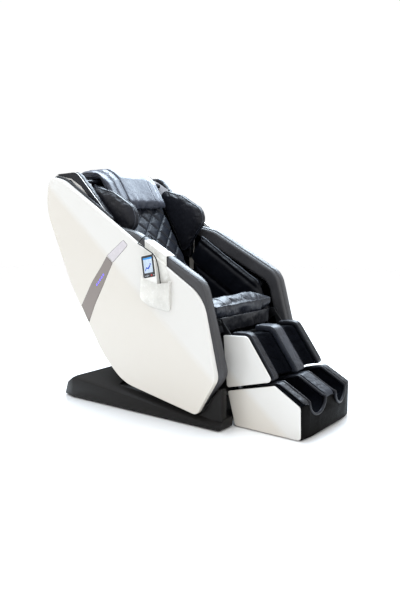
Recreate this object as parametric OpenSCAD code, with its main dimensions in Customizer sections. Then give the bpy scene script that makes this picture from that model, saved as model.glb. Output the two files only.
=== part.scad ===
// Full-body massage chair: glossy side shells on a wedge base, reclining back with a massage
// carriage, padded arms, a lifting calf and foot rest, and a wired remote in a pouch.
// +X is the sitter's left, -Y is the way the sitter faces, +Z is up. The floor is z = 0.

/* [Side shells] */
// Half of the overall width, at the crease of the side shells
half_w = 385; // [370:1:400]
// X of the shells' open inner side
shell_in = 352; // [345:1:356]
// Wall thickness of the moulded covers
wall = 3.5; // [2.5:0.5:5]
// Slope of the crease along the shell, in degrees
crease_slope = 39.2; // [36:0.2:42]
// Lean of the facet above the crease, in degrees
upper_lean = 6.3; // [4:0.1:7]
// Lean of the facet below the crease, in degrees
lower_lean = 3.5; // [2:0.1:4]

/* [Arms] */
// X of the arm pad's inner side
arm_in = 290; // [286:1:296]
// X of the inner arm cushion's inner side
arm_cushion_in = 254; // [252:1:258]

/* [Back] */
// Recline of the back at rest, from the vertical, in degrees
back_lean = 30; // [28:0.5:32]
// Half of the back cushion's width
back_half = 245; // [230:1:248]
// Thickness of the back cushion
back_thick = 50; // [40:1:52]
// Length of the back cushion
back_len = 790; // [740:5:810]

/* [Leg rest] */
// Half of the leg rest's width, outside its side panels
leg_half = 240; // [236:1:244]
// Slope of the split between calf and foot units, in degrees
split_slope = 14.4; // [14:0.1:15]
// X of the middle of each leg channel
channel_x = 112; // [108:1:116]
// Radius of each leg channel
channel_r = 64; // [58:1:68]

/* [Remote] */
// Width of the remote
remote_w = 76; // [72:1:78]
// Length of the remote
remote_len = 168; // [160:1:172]
// Thickness of the remote
remote_t = 12; // [10:0.5:12.5]
// Diameter of the remote's cord
cord_d = 5; // [4:0.5:6]

/* [Hidden] */
$fn = 48;
far = 2000;
fit = 0.05;
skin_gap = 0.4;

// Joint centres, as [y, z]
tilt_at = [20, 150];
back_at = [165, 400];
leg_at = [-285, 468];
tilt_pin_r = 12;
back_pin_r = 10;
leg_pin_r = 8;

// Side outlines, as [y, z, corner radius], anticlockwise seen from the sitter's left
shell_corners = [
    [-284, 593, 190], [-368, 240, 70], [-257, 60, 35], [215, 134, 250], [352, 255, 500],
    [562, 578, 1000], [738, 985, 250], [695, 1152, 30], [602, 1129, 200]
];
crease_at = [248, 733];
calf_corners = [[-309, 413, 8], [-436, 421, 28], [-568, 236, 16], [-330, 173, 12]];
foot_corners = [
    [-334, 158, 8], [-578, 221, 18], [-704, 147, 16], [-708, 4, 14], [-376, 4, 14]
];
foot_core_corners = [
    [-338, 162, 8], [-592, 229, 25], [-718, 160, 40], [-731, 60, 60], [-728, 6, 14], [-378, 6, 14]
];
foot_front_y = -731;
foot_front_r = 1210;
foot_split_z = 150;

// ---- Outline helpers ----

function unit(v) = v / norm(v);
function flat(p) = [p[0], p[1]];
function corner_arc(a, p, b, r, n) =
    let (
        u = unit(flat(a) - flat(p)),
        w = unit(flat(b) - flat(p)),
        half = acos(u * w) / 2,
        start = flat(p) + u * (r / tan(half)),
        finish = flat(p) + w * (r / tan(half)),
        c = flat(p) + unit(u + w) * (r / sin(half)),
        a0 = atan2(start[1] - c[1], start[0] - c[0]),
        a1 = atan2(finish[1] - c[1], finish[0] - c[0]),
        sweep = (a1 - a0 + 540) % 360 - 180
    )
    [for (i = [0:n]) c + r * [cos(a0 + sweep * i / n), sin(a0 + sweep * i / n)]];

// Points of a closed outline whose corners are rounded by arcs
function rounded(pts, n = 6) =
    let (k = len(pts))
    [for (i = [0:k - 1])
        each (pts[i][2] > 0
            ? corner_arc(pts[(i + k - 1) % k], pts[i], pts[(i + 1) % k], pts[i][2], n)
            : [flat(pts[i])])];

// The corners of an anticlockwise outline, moved inwards by d
function inset(pts, d) =
    let (k = len(pts))
    [for (i = [0:k - 1])
        let (
            e1 = unit(flat(pts[i]) - flat(pts[(i + k - 1) % k])),
            e2 = unit(flat(pts[(i + 1) % k]) - flat(pts[i])),
            n1 = [-e1[1], e1[0]],
            n2 = [-e2[1], e2[0]],
            turn = e1[0] * e2[1] - e1[1] * e2[0],
            p = flat(pts[i]) + d * (n1 + n2) / (1 + n1 * n2)
        )
        [p[0], p[1], max(0, turn > 0 ? pts[i][2] - d : pts[i][2] + d)]];

// A side outline, drawn in [y, z], stretched across the chair from x0 to x1
module across(x0, x1) {
    translate([x0, 0, 0]) rotate([90, 0, 90]) linear_extrude(x1 - x0) children();
}

// A part of the left side as it is, or mirrored to the right side
module on_side(side) {
    if (side < 0) mirror([1, 0, 0]) children();
    else children();
}

module both_sides() {
    for (side = [-1, 1]) on_side(side) children();
}

// A pin or a hole across the chair, at [y, z]
module rod_across(at, r, x0, x1) {
    translate([x0, at[0], at[1]]) rotate([0, 90, 0]) cylinder(r = r, h = x1 - x0);
}

// ---- Side shells and what is on them ----

module shell_planes(d) {
    translate([half_w - d, crease_at[0], crease_at[1]]) rotate([crease_slope, 0, 0]) {
        rotate([0, -upper_lean, 0]) translate([0, -far, -far]) cube([100, 2 * far, 2 * far]);
        rotate([0, lower_lean, 0]) translate([0, -far, -far]) cube([100, 2 * far, 2 * far]);
    }
}

// The shell's outer body, with its faces moved inwards by d and its inner side at x0
module shell_body(d, x0) {
    difference() {
        across(x0, half_w + 20) polygon(rounded(inset(shell_corners, d)));
        shell_planes(d);
    }
}

module side_shell(side) {
    color("ivory") on_side(side) difference() {
        shell_body(0, shell_in);
        shell_body(wall, shell_in - 10);
    }
}

module side_shell_left() { side_shell(1); }
module side_shell_right() { side_shell(-1); }

// A thin plate that lies on the shell inside a side outline
module shell_plate(side, pts, low, high) {
    on_side(side) difference() {
        intersection() {
            shell_body(-high, shell_in + 10);
            across(shell_in + 12, half_w + 20) polygon(pts);
        }
        shell_body(-low, shell_in + 8);
    }
}

strip_corners = [
    [282, 752, 0], [243, 724, 0], [320, 608, 400], [387, 511, 300], [441, 415, 0], [492, 494, 0],
    [404, 617, 500], [327, 699, 200]
];
insert_corners = [[181, 834, 8], [152, 810, 8], [239, 727, 0], [279, 757, 0]];
light_at = [338, 636];
light_count = 5;

module shell_strip(side) {
    color("#8f8481") shell_plate(side, rounded(strip_corners, 4), 0, 1.2);
}

module shell_strip_left() { shell_strip(1); }
module shell_strip_right() { shell_strip(-1); }

module strip_inserts() {
    color("#dcd9dc") for (side = [-1, 1]) shell_plate(side, rounded(insert_corners, 4), 0, 1.2);
}

// A row of small lit bars along the strip
module strip_lights() {
    color("#5a4bff") for (side = [-1, 1], i = [0:light_count - 1]) {
        y = light_at[0] - 13 * (i - 2);
        z = light_at[1] + 13 * (i - 2);
        shell_plate(side, [[y - 5, z - 2], [y + 3, z - 7], [y + 5, z + 2], [y - 3, z + 7]], 1.2, 1.8);
    }
}

// The dark roll along the shell's upper edge, beside the back
module rim_trim(side) {
    color("#3a393d") on_side(side) for (step = [0, 1])
        across(338 + 3 * step, 351.5 - step * 3) difference() {
            polygon(rounded(inset(shell_corners, -6 - 5 * step)));
            polygon(rounded(inset(shell_corners, 26 - 5 * step)));
            polygon([[-far, -far], [270, -far], [270, far], [-far, far]]);
            polygon([[200, -far], [far, -far], [far, 980], [380, 880], [200, 780]]);
        }
}

module rim_trim_left() { rim_trim(1); }
module rim_trim_right() { rim_trim(-1); }

// ---- Arms ----

arm_corners = [
    [262, 896, 10], [130, 870, 150], [-275, 657, 110], [-385, 255, 60], [-262, 92, 20],
    [-216, 127, 12], [-303, 258, 50], [-212, 600, 90], [283, 850, 0]
];

// The padded band along the front and the top of each arm, rounded in steps
module arm_pad(side) {
    color("#474246") on_side(side) {
        across(arm_in + 12, 338) polygon(rounded(arm_corners));
        across(arm_in + 4, 346) polygon(rounded(inset(arm_corners, 5)));
        across(arm_in, shell_in - skin_gap) polygon(rounded(inset(arm_corners, 13)));
    }
}

module arm_pad_left() { arm_pad(1); }
module arm_pad_right() { arm_pad(-1); }

arm_cushion_corners = [
    [205, 856, 14], [-186, 614, 40], [-268, 438, 16], [150, 438, 14], [285, 720, 40]
];

// The air cushion on the inner side of each arm, with a roll along its top
module arm_cushion(side) {
    color("#1d1e24") on_side(side) {
        across(arm_cushion_in + 8, arm_in - 1) polygon(rounded(inset(arm_cushion_corners, 4)));
        across(arm_cushion_in, arm_in - 8) polygon(rounded(inset(arm_cushion_corners, 12)));
        translate([arm_cushion_in + 17, -176, 604]) rotate([31.8 - 90, 0, 0])
            cylinder(r = 15, h = 420);
    }
}

module arm_cushion_left() { arm_cushion(1); }
module arm_cushion_right() { arm_cushion(-1); }

// Steel carriers inside the arms: two posts, a sloping rail and outriggers to the seat frame
module arm_frames() {
    color("#6c7076") both_sides() {
        translate([300, -100, 350]) cube([25, 25, 262]);
        translate([300, 20, 350]) cube([25, 25, 340]);
        translate([300, -165, 575]) rotate([26.8, 0, 0]) cube([25, 305, 25]);
        translate([230, -100, 350]) cube([144, 25, 25]);
        translate([230, 20, 350]) cube([138, 25, 25]);
    }
}

// ---- Base ----

base_front_y = -372;
base_rear_y = 641;
edge_rise = 5.27;
bevel = 33;
roof_z = 175;
roof_front_y = 262;
// The front is notched for the leg rest
notch_half = 254;
notch_y = -318;

// Cuts everything above a plane that starts at [x, y, z] and is turned by r
module cut_above(at, r) {
    translate(at) rotate(r) translate([-far, -far, 0]) cube([2 * far, 2 * far, far]);
}

module base_body(d) {
    difference() {
        translate([0, 0, d > 0 ? -10 : 7]) linear_extrude(roof_z - d + (d > 0 ? 10 : -7))
            polygon([
                [-353 + d, base_front_y + d], [-notch_half - d, base_front_y + d],
                [-notch_half - d, notch_y + d], [notch_half + d, notch_y + d],
                [notch_half + d, base_front_y + d], [353 - d, base_front_y + d],
                [383 - d, 560], [364 - d, base_rear_y - d], [-364 + d, base_rear_y - d],
                [-383 + d, 560]
            ]);
        both_sides() translate([353, base_front_y, 24 - d / cos(bevel)]) rotate([0, 0, -1.9])
            rotate([edge_rise, 0, 0]) rotate([0, bevel, 0])
            translate([-far, -far, 0]) cube([2 * far, 2 * far, far]);
        // Rear face, rear bevel and the ramp up to the roof
        cut_above([0, base_rear_y - d, 7], [-66, 0, 0]);
        cut_above([0, 610, 76 - d], [-33, 0, 0]);
        cut_above([0, 560, 114 - d], [-19, 0, 0]);
        // The lower deck in front of the roof
        intersection() {
            cut_above([0, base_front_y, 50 - d], [edge_rise, 0, 0]);
            translate([-far, roof_front_y + d - far, -far]) cube([2 * far, far, 2 * far]);
        }
    }
}

upright_corners = [[-366, 42, 0], [-240, 42, 0], [-274, 80, 0], [-354, 190, 8], [-366, 182, 6]];
inlet_x = 80;
switch_x = 118;
rear_panel_at = [624, 41];
rear_panel_turn = 24;

module on_rear_panel(x) {
    translate([x, rear_panel_at[0], rear_panel_at[1]]) rotate([rear_panel_turn, 0, 0]) children();
}

// The wedge cover with its skirts, its rear hood, and the two front uprights
module base_cover() {
    color("#2c2a2b") {
        difference() {
            base_body(0);
            base_body(wall);
            // Slots for the tilt brackets and the tilt actuator
            both_sides() translate([184, -35, 20]) cube([52, 110, 150]);
            translate([-35, -290, 20]) cube([70, 130, 100]);
            on_rear_panel(inlet_x) translate([-25, -24, -15]) cube([50, 64, 30]);
            on_rear_panel(switch_x) translate([-8.5, -20, -11.5]) cube([17, 60, 23]);
        }
        both_sides() across(292, 334) polygon(rounded(upright_corners, 3));
    }
}

rail_x = 292;
cross_y = [-300, -60, 60, 300, 516];

module base_frame() {
    color("#55585c") {
        both_sides() {
            difference() {
                translate([rail_x, -350, 12]) cube([34, 925, 24]);
                translate([rail_x + 3, -360, 15]) cube([28, 945, 18]);
            }
            // Clevis ears and the pin that the seat frame tilts on
            for (x = [189, 222]) translate([x, -10, 40]) cube([9, 60, 92]);
            for (x = [189, 222]) rod_across(tilt_at, 26, x, x + 9);
            rod_across(tilt_at, tilt_pin_r, 186, 234);
        }
        for (y = cross_y) translate([-rail_x, y, 12]) cube([2 * rail_x, 30, 28]);
        // Plates that carry the clevis ears
        both_sides() translate([186, -60, 36]) cube([48, 150, 4]);
        // Ears of the tilt actuator's lower pivot
        for (x = [-20, 12]) translate([x, -260, 40]) cube([8, 40, 40]);
        translate([-30, -300, 36]) cube([60, 270, 4]);
        // Tray of the control box and brackets of the wheel axle
        translate([-140, 300, 36]) cube([220, 246, 4]);
        for (x = [-236, -184, 176, 228]) difference() {
            translate([x, 540, 16]) cube([8, 62, 24]);
            rod_across(wheel_at, 5 + fit, x - 1, x + 9);
        }
        rod_across(tilt_low, 6, -20, 20);
    }
}

foot_spots = [[312, -340], [312, 500]];

module base_feet() {
    color("#151515") both_sides() for (p = foot_spots) translate([p[0], p[1], 0]) {
        cylinder(r = 20, h = 6);
        translate([0, 0, 6]) cylinder(r = 7, h = 6);
    }
}

module control_box() {
    color("#8b8f92") difference() {
        translate([-130, 335, 41]) cube([200, 150, 88]);
        translate([-127, 338, 44]) cube([194, 144, 82]);
        for (i = [0:5]) translate([-100 + 24 * i, 330, 70]) cube([8, 20, 36]);
    }
}

module power_inlet() {
    color("#202124") on_rear_panel(inlet_x) difference() {
        union() {
            translate([-24, -18, -14]) cube([48, 19, 28]);
            translate([-28, 2, -18]) cube([56, 2.5, 36]);
            translate([-24, 0, -14]) cube([48, 3, 28]);
        }
        translate([-13, -12, -9]) cube([26, 30, 18]);
    }
}

switch_turn = 8;

// A rocker on a cross pin, standing out at its upper end
module power_switch() {
    color("#b02020") on_rear_panel(switch_x) {
        rotate([switch_turn, 0, 0]) difference() {
            rod_across([-1, 0], 9.5, -7, 7);
            translate([-10, 2.5, -20]) cube([20, 20, 40]);
        }
    }
}

wheel_at = [590, 31];

module transport_wheels() {
    color("#2a2a2c") {
        rod_across(wheel_at, 5, -240, 240);
        both_sides() difference() {
            rod_across(wheel_at, 28, 196, 220);
            rod_across(wheel_at, 20, 190, 199);
        }
    }
}

// ---- Linear actuators ----

tilt_low = [-240, 68];
tilt_high = [-205, 262];
recline_low = [-110, 300];
recline_high = [225, 292];
leg_low = [-10, 322];
leg_high = [-300, 352];

// Stands a child that is drawn along +Z at the pivot p, pointing at the pivot q
module aim(p, q) {
    translate([0, p[0], p[1]]) rotate([atan2(q[1] - p[1], q[0] - p[0]) - 90, 0, 0]) children();
}

// Motor, gearbox and outer tube, with a bored eye at the lower pivot
module actuator_tube(p, q, tube_len, pin_r) {
    aim(p, q) difference() {
        union() {
            translate([-8, 0, 0]) rotate([0, 90, 0]) cylinder(r = 14, h = 16);
            translate([-8, -14, 0]) cube([16, 28, 22]);
            translate([-20, -20, 20]) cube([40, 40, 34]);
            translate([0, 0, 50]) cylinder(r = 17, h = tube_len - 50);
        }
        translate([-30, 0, 0]) rotate([0, 90, 0]) cylinder(r = pin_r + fit, h = 60);
        translate([0, 0, 60]) cylinder(r = 11, h = far);
    }
}

// The rod that the tube pushes out, with a flat eye at its end
module actuator_rod(p, q, start) {
    full = norm(q - p);
    aim(p, q) difference() {
        union() {
            translate([0, 0, start]) cylinder(r = 10.9, h = full - start - 8);
            translate([-6, 0, full]) rotate([0, 90, 0]) cylinder(r = 13, h = 12);
        }
        translate([-30, 0, full]) rotate([0, 90, 0]) cylinder(r = 8, h = 60);
    }
}

module tilt_actuator_tube() { color("#1f2226") actuator_tube(tilt_low, tilt_high, 150, 6); }
module tilt_actuator_rod() { color("silver") actuator_rod(tilt_low, tilt_high, 66); }
module recline_actuator_tube() {
    color("#1f2226") actuator_tube(recline_low, recline_high, 230, 6);
}
module recline_actuator_rod() { color("silver") actuator_rod(recline_low, recline_high, 120); }
module leg_actuator_tube() {
    color("#1f2226") translate([60, 0, 0]) actuator_tube(leg_low, leg_high, 210, 6);
}
module leg_actuator_rod() {
    color("silver") translate([60, 0, 0]) actuator_rod(leg_low, leg_high, 70);
}

// Two ears beside an open pivot, joined behind the rod's eye
module open_ears(at, x, from) {
    for (s = [x - 17, x + 11]) {
        rod_across(at, 14, s, s + 6);
        translate([s, min(at[0], from[0]), min(at[1], from[1])])
            cube([6, abs(from[0] - at[0]), abs(from[1] - at[1]) + 1]);
    }
}

// ---- Seat ----

seat_rail_z = 345;

module seat_frame() {
    color("#5d6166") difference() {
        union() {
            both_sides() {
                translate([200, -240, seat_rail_z]) cube([30, 350, 45]);
                // Hangers down to the tilt pins
                translate([206, -10, tilt_at[1]]) cube([9, 60, seat_rail_z - tilt_at[1] + 1]);
                rod_across(tilt_at, 27, 206, 215);
                // Lugs and pins for the back
                across(230, 238) polygon([
                    [60, 345], [125, 345], [190, 385], [190, 412], [150, 418], [128, 400],
                    [108, 390], [60, 390]
                ]);
                rod_across(back_at, back_pin_r, 214, 238);
                // Arms and pins for the leg rest
                across(244, 250) polygon([
                    [-120, 350], [-120, 388], [-200, 432], [-272, 481], [-298, 481], [-303, 468],
                    [-298, 455], [-225, 400], [-190, 350]
                ]);
                translate([228, -190, 350]) cube([22, 60, 30]);
                rod_across(leg_at, leg_pin_r, 224, 250);
            }
            // Rear, front and middle cross bars
            translate([-201, 70, seat_rail_z]) cube([402, 30, 45]);
            translate([-230, -240, 400]) cube([460, 30, 40]);
            both_sides() translate([200, -240, 389]) cube([30, 30, 12]);
            translate([-201, -125, 370]) cube([402, 30, 20]);
            translate([-201, -25, 350]) cube([402, 30, 30]);
            // Ears of the three actuators
            open_ears(tilt_high, 0, [-235, 402]);
            for (x = [-20, 14]) translate([x, -122, 288]) cube([6, 24, 84]);
            rod_across(recline_low, 6, -20, 20);
            for (x = [40, 74]) translate([x, -22, 310]) cube([6, 24, 42]);
            rod_across(leg_low, 6, 40, 80);
        }
        both_sides() rod_across(tilt_at, tilt_pin_r + fit, 200, 220);
    }
}

module air_pump() {
    color("#3c4046") {
        translate([-170, -30, 262]) cube([120, 90, 88]);
        translate([-170, 60, 275]) cube([120, 4, 60]);
        for (x = [-140, -80]) translate([x, 64, 305]) rotate([-90, 0, 0]) cylinder(r = 9, h = 22);
    }
}

seat_corners = [
    [-285, 512, 8], [-240, 465, 30], [120, 402, 10], [122, 478, 30], [-60, 500, 300],
    [-215, 556, 90], [-288, 549, 18]
];

module seat_cushion() {
    color("#5a5e66") {
        across(-240, 240) polygon(rounded(seat_corners));
        across(-250, 250) polygon(rounded(inset(seat_corners, 8)));
    }
}

// The leather apron between the seat's nose and the calf unit
module leg_flap() {
    color("#4a4d55") translate([-218, -268, 410]) rotate([4, 0, 0]) cube([436, 8, 72]);
}

module lower_rear_cover() {
    color("#2c2a2b") {
        across(-327, 327) polygon(rounded([
            [292, 287, 0], [292, 283, 0], [352, 297, 60], [450, 445, 0], [446, 447, 0],
            [350, 301, 56]
        ]));
        both_sides() translate([300, 45, 350]) cube([8, 303, 25]);
        both_sides() across(300, 308) polygon([[348, 350], [384, 350], [404, 380], [348, 375]]);
    }
}

// ---- Back ----

// Places what is drawn with z up the back and y into it, from the foot of the cushion's face
module on_back() {
    translate([0, 130, 440]) rotate([-back_lean, 0, 0]) children();
}

track_y = 105;

module back_frame() {
    color("#5d6166") {
        on_back() {
            both_sides() difference() {
                translate([198, track_y - 24, 30]) cube([28, 48, 730]);
                translate([190, track_y - 13, 20]) cube([30, 26, 760]);
            }
            for (z = [40, 720]) translate([-226, track_y + 24, z]) cube([452, 5, 40]);
            // Carriers of the cushion above and below the carriage's travel
            for (z = [30, 742]) translate([-226, back_thick + 3, z]) cube([452, 5, 18]);
            both_sides() for (z = [30, 742])
                translate([200, back_thick + 3, z]) cube([26, track_y - back_thick - 20, 18]);
            // Brackets out to the shoulder pads and the rear cover
            both_sides() for (z = [480, 660]) translate([224, track_y - 10, z]) cube([95, 20, 6]);
        }
        // Lugs on the back pins
        both_sides() difference() {
            across(219, 229) polygon([
                [143, 400], [152, 382], [172, 378], [188, 392], [245, 445], [215, 455], [170, 417],
                [150, 414]
            ]);
            rod_across(back_at, back_pin_r + fit, 210, 240);
        }
        // Lever down to the recline actuator
        open_ears(recline_high, 0, [250, 420]);
        translate([-60, 232, 416]) cube([120, 40, 12]);
    }
}

module back_cushion() {
    color("#3b4049") on_back() {
        translate([-back_half + 10, 0, 20]) cube([2 * back_half - 20, back_thick, back_len - 20]);
        translate([-back_half, 8, 30]) cube([2 * back_half, back_thick - 16, back_len - 40]);
    }
}

tub_corners = [
    [322, 456, 0], [478, 456, 0], [552, 578, 400], [726, 985, 240], [712, 1166, 40],
    [540, 1170, 60], [298, 935, 30]
];
tub_in = 331;

// The rear cover: a tub, open to the front and below, whose sides reach forward beside the head
module rear_cover() {
    color("#e6e4e2") difference() {
        across(-tub_in - wall, tub_in + wall) polygon(rounded(tub_corners));
        across(-tub_in, tub_in) polygon(rounded(inset(tub_corners, wall)));
        across(-tub_in, tub_in) polygon([
            [150, 400], [473, 400], [473, 470], [505, 1000], [540, 1130], [far, 1130],
            [far, 1300], [150, 1300]
        ]);
    }
}

// The padded hood around the head: a roll inside the tub's sides, and a pad behind the head
module head_surround() {
    color("#3a393d") {
        both_sides() for (step = [0, 1])
            across(298 + 5 * step, tub_in - skin_gap - 5 * step) difference() {
                polygon(rounded(inset(tub_corners, wall + skin_gap - 6 * step)));
                polygon(rounded(inset(tub_corners, 46)));
                polygon([
                    [200, -far], [far, -far], [far, 1134], [611, 1134], [372, 880], [372, 720],
                    [200, 720]
                ]);
            }
        across(-299, 299) polygon(rounded([
            [702, 1100, 8], [704, 1134, 14], [548, 1136, 10], [532, 1126, 4], [562, 1108, 0],
            [600, 1096, 0]
        ]));
    }
}

wing_corners = [
    [330, 742, 25], [406, 872, 60], [490, 1022, 60], [506, 1094, 45], [444, 1098, 60],
    [334, 1075, 120], [202, 1000, 90], [170, 925, 70], [239, 832, 120], [292, 768, 60]
];
wing_x = 267;
wing_half = 19;
wing_edge = 10;

// A shoulder pad with its air cell, standing beside the sitter's upper arm
module shoulder_wing(side) {
    color("#25262c") on_side(side) {
        across(wing_x - wing_half, wing_x + wing_half)
            polygon(rounded(inset(wing_corners, wing_edge)));
        across(wing_x - wing_half + 6, wing_x + wing_half - 6) polygon(rounded(wing_corners));
    }
}

module shoulder_wing_left() { shoulder_wing(1); }
module shoulder_wing_right() { shoulder_wing(-1); }

pillow_half = 210;
pillow_corners = [
    [722, 1141, 0], [738, 1150, 5], [732, 1168, 8], [650, 1190, 60], [505, 1190, 80],
    [392, 1010, 40], [398, 968, 10], [428, 978, 12], [503, 1106, 20], [528, 1141, 12]
];
pillow_side_corners = [
    [716, 1153, 0], [722, 1160, 4], [648, 1178, 60], [512, 1178, 70], [404, 1008, 35],
    [409, 981, 6], [422, 986, 6], [492, 1112, 20], [522, 1153, 12]
];

module head_pillow() {
    color("#7f8694") {
        // Crowned: full between the seams, and thinner towards both sides
        across(-105, 105) polygon(rounded(pillow_corners));
        across(-150, 150) polygon(rounded(inset(pillow_corners, 4)));
        across(-pillow_half, pillow_half) polygon(rounded(pillow_side_corners));
    }
}

carriage_z = 380;
knead_r = 42;
knead_y = 97;

// The trolley that climbs the back: plate, motor, bearing blocks and guide rollers
module massage_carriage() {
    color("#9a9da1") on_back() difference() {
        union() {
            translate([-190, track_y + 34, carriage_z - 70]) cube([380, 6, 140]);
            translate([-55, track_y + 40, carriage_z - 45]) cube([110, 50, 90]);
            both_sides() {
                for (z = [-50, 30]) {
                    translate([182, track_y - 8, carriage_z + z]) cube([8, 48, 20]);
                    translate([182, track_y, carriage_z + z + 10]) rotate([0, 90, 0])
                        cylinder(r = 12.5, h = 36);
                }
                translate([112, knead_y - 16, carriage_z - 16]) cube([14, 60, 32]);
            }
        }
        translate([-200, knead_y, carriage_z]) rotate([0, 90, 0])
            cylinder(r = 10 + fit, h = 380);
    }
}

// The driven shaft with its four kneading discs
module kneading_shaft() {
    color("#3d8f8a") on_back() translate([0, knead_y, carriage_z]) {
        translate([-150, 0, 0]) rotate([0, 90, 0]) cylinder(r = 10, h = 300);
        both_sides() for (x = [66, 130]) translate([x, 0, 0]) rotate([0, 90, 0])
            rotate_extrude() polygon(rounded([
                [9, 0, 0], [knead_r, 0, 8], [knead_r, 16, 8], [9, 16, 0]
            ]));
    }
}

// ---- Leg rest ----

// Shapes of each channel: a half pipe that runs down the calf unit's face
channel_axis = [-490, 372];
channel_tilt = 55.2;

module calf_channels() {
    both_sides() translate([channel_x, channel_axis[0], channel_axis[1]])
        rotate([channel_tilt - 90, 0, 0]) {
            translate([0, 0, -300]) cylinder(r = channel_r, h = 600);
            translate([-channel_r, -200, -300]) cube([2 * channel_r, 200, 600]);
        }
}

slide_top = [-340, 348];
slide_x = 205;
slide_len = 160;

// Steel cheeks, rear and bottom plates, hinge lugs and the tubes that the foot unit slides in
module calf_frame() {
    color("#2b2c30") difference() {
        union() {
            both_sides() {
                across(226, 232) polygon(rounded(inset(calf_corners, 6)));
                across(226, 232) polygon([
                    [-296, 456], [-274, 456], [-268, 468], [-274, 484], [-296, 484], [-303, 468],
                    [-360, 400], [-318, 392]
                ]);
                rod_across(leg_at, 17, 226, 232);
            }
            intersection() {
                across(-227, 227) difference() {
                    polygon(rounded(inset(calf_corners, 3)));
                    polygon(rounded(inset(calf_corners, 7)));
                }
                across(-227, 227) polygon([
                    [-500, 150], [-300, 150], [-290, 405], [-345, 405], [-360, 200], [-500, 240]
                ]);
            }
            both_sides() translate([slide_x, slide_top[0], slide_top[1]])
                rotate([180 - split_slope, 0, 0]) cylinder(r = 14, h = slide_len);
            both_sides() translate([slide_x + 10, slide_top[0] - 18, slide_top[1] - 60])
                cube([12, 20, 20]);
            open_ears(leg_high, 60, [-318, 392]);
            translate([43, -318, 385]) cube([34, 6, 12]);
        }
        both_sides() {
            translate([slide_x, slide_top[0], slide_top[1]])
                rotate([180 - split_slope, 0, 0]) translate([0, 0, -2]) cylinder(r = 11, h = 300);
            rod_across(leg_at, leg_pin_r + fit, 220, 240);
        }
        // Slots for the guide rods and for the actuator
        both_sides() translate([slide_x - 15, -420, 160]) cube([30, 50, 50]);
        translate([49.5, -345, 310]) cube([21, 60, 72]);
    }
}

// The padded floor of both leg channels
module calf_pad() {
    color("#14161f") difference() {
        across(-225, 225) polygon(rounded(inset(calf_corners, 9)));
        calf_channels();
        across(-226, 226) polygon([
            [-300, 100], [-532, 160], [-400, 330], [-352, 392], [-352, 460], [-300, 460]
        ]);
        both_sides() translate([slide_x - 22, -420, 100]) cube([30, 125, 400]);
    }
}

bolster_field = [
    [-345, 600], [-720, 600], [-720, 279], [-575, 241], [-545, 233], [-400, 400], [-345, 400]
];

// The leather rolls beside and between the channels
module calf_bolsters() {
    color("#3d4048") {
        both_sides() across(185, 225) intersection() {
            difference() {
                polygon(rounded(inset(calf_corners, -12)));
                polygon(rounded(inset(calf_corners, 9 - skin_gap)));
            }
            polygon(bolster_field);
        }
        across(-36, 36) intersection() {
            difference() {
                polygon(rounded(inset(calf_corners, -20)));
                polygon(rounded(inset(calf_corners, 9 - skin_gap)));
            }
            polygon(bolster_field);
        }
    }
}

module calf_panel(side) {
    color("ivory") on_side(side) {
        across(232 + skin_gap, leg_half - 2) polygon(rounded(calf_corners));
        across(232 + skin_gap, leg_half) polygon(rounded(inset(calf_corners, 3)));
    }
}

module calf_panel_left() { calf_panel(1); }
module calf_panel_right() { calf_panel(-1); }

// The foot unit's body, with its faces moved inwards by d
module foot_body(d, half) {
    intersection() {
        across(-half, half) polygon(rounded(inset(foot_core_corners, d)));
        translate([0, foot_front_y + foot_front_r, -10])
            cylinder(r = foot_front_r - d, h = 400, $fn = 360);
    }
}

module foot_wells() {
    both_sides() translate([channel_x, 0, 160]) {
        translate([0, -470, 0]) rotate([90, 0, 0]) cylinder(r = channel_r, h = 400);
        translate([-channel_r, -870, 0]) cube([2 * channel_r, 400, 200]);
        translate([0, -470, 0]) sphere(r = channel_r);
        translate([0, -470, 0]) cylinder(r = channel_r, h = 200);
    }
}

// Dark front, bottom and rear skin of the foot unit
module foot_casing() {
    color("#2b2727") difference() {
        foot_body(0, 232);
        foot_body(wall, 233);
        foot_wells();
        translate([-far, -far, foot_split_z]) cube([2 * far, 2 * far, 300]);
        both_sides() translate([slide_x - 15, -430, 100]) cube([30, 140, 100]);
    }
}

roller_at = [-560, 55];

// Foam block with the two foot wells
module foot_pad() {
    color("#14161f") difference() {
        foot_body(wall + skin_gap, 232);
        foot_wells();
        translate([-190, -625, 0]) cube([380, 140, 88]);
        both_sides() translate([slide_x - 15, -440, 0]) cube([30, 160, 260]);
    }
}

// Leather rolls beside and between the foot wells
module foot_bolsters() {
    color("#3d4048") intersection() {
        union() {
            both_sides() foot_roll(188, 231, 6);
            foot_roll(-38, 38, 8);
        }
        translate([0, foot_front_y + foot_front_r, 0])
            cylinder(r = foot_front_r + 5, h = 400, $fn = 360);
    }
}

// A roll of height d on the foot unit's sloping top
module foot_roll(x0, x1, d) {
    across(x0, x1) intersection() {
        difference() {
            polygon(rounded(inset(foot_core_corners, -d)));
            polygon(rounded(inset(foot_core_corners, -0.5)));
        }
        polygon([[-480, 400], [-760, 400], [-760, 152], [-700, 152], [-480, 160]]);
    }
}

module foot_panel(side) {
    color("ivory") on_side(side) {
        across(232 + skin_gap, leg_half - 2) polygon(rounded(foot_corners));
        across(232 + skin_gap, leg_half) polygon(rounded(inset(foot_corners, 3)));
    }
}

module foot_panel_left() { foot_panel(1); }
module foot_panel_right() { foot_panel(-1); }

module foot_slide_rods() {
    color("silver") both_sides() translate([slide_x, slide_top[0], slide_top[1]])
        rotate([180 - split_slope, 0, 0]) translate([0, 0, 4]) cylinder(r = 10.9, h = 280);
}

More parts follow.
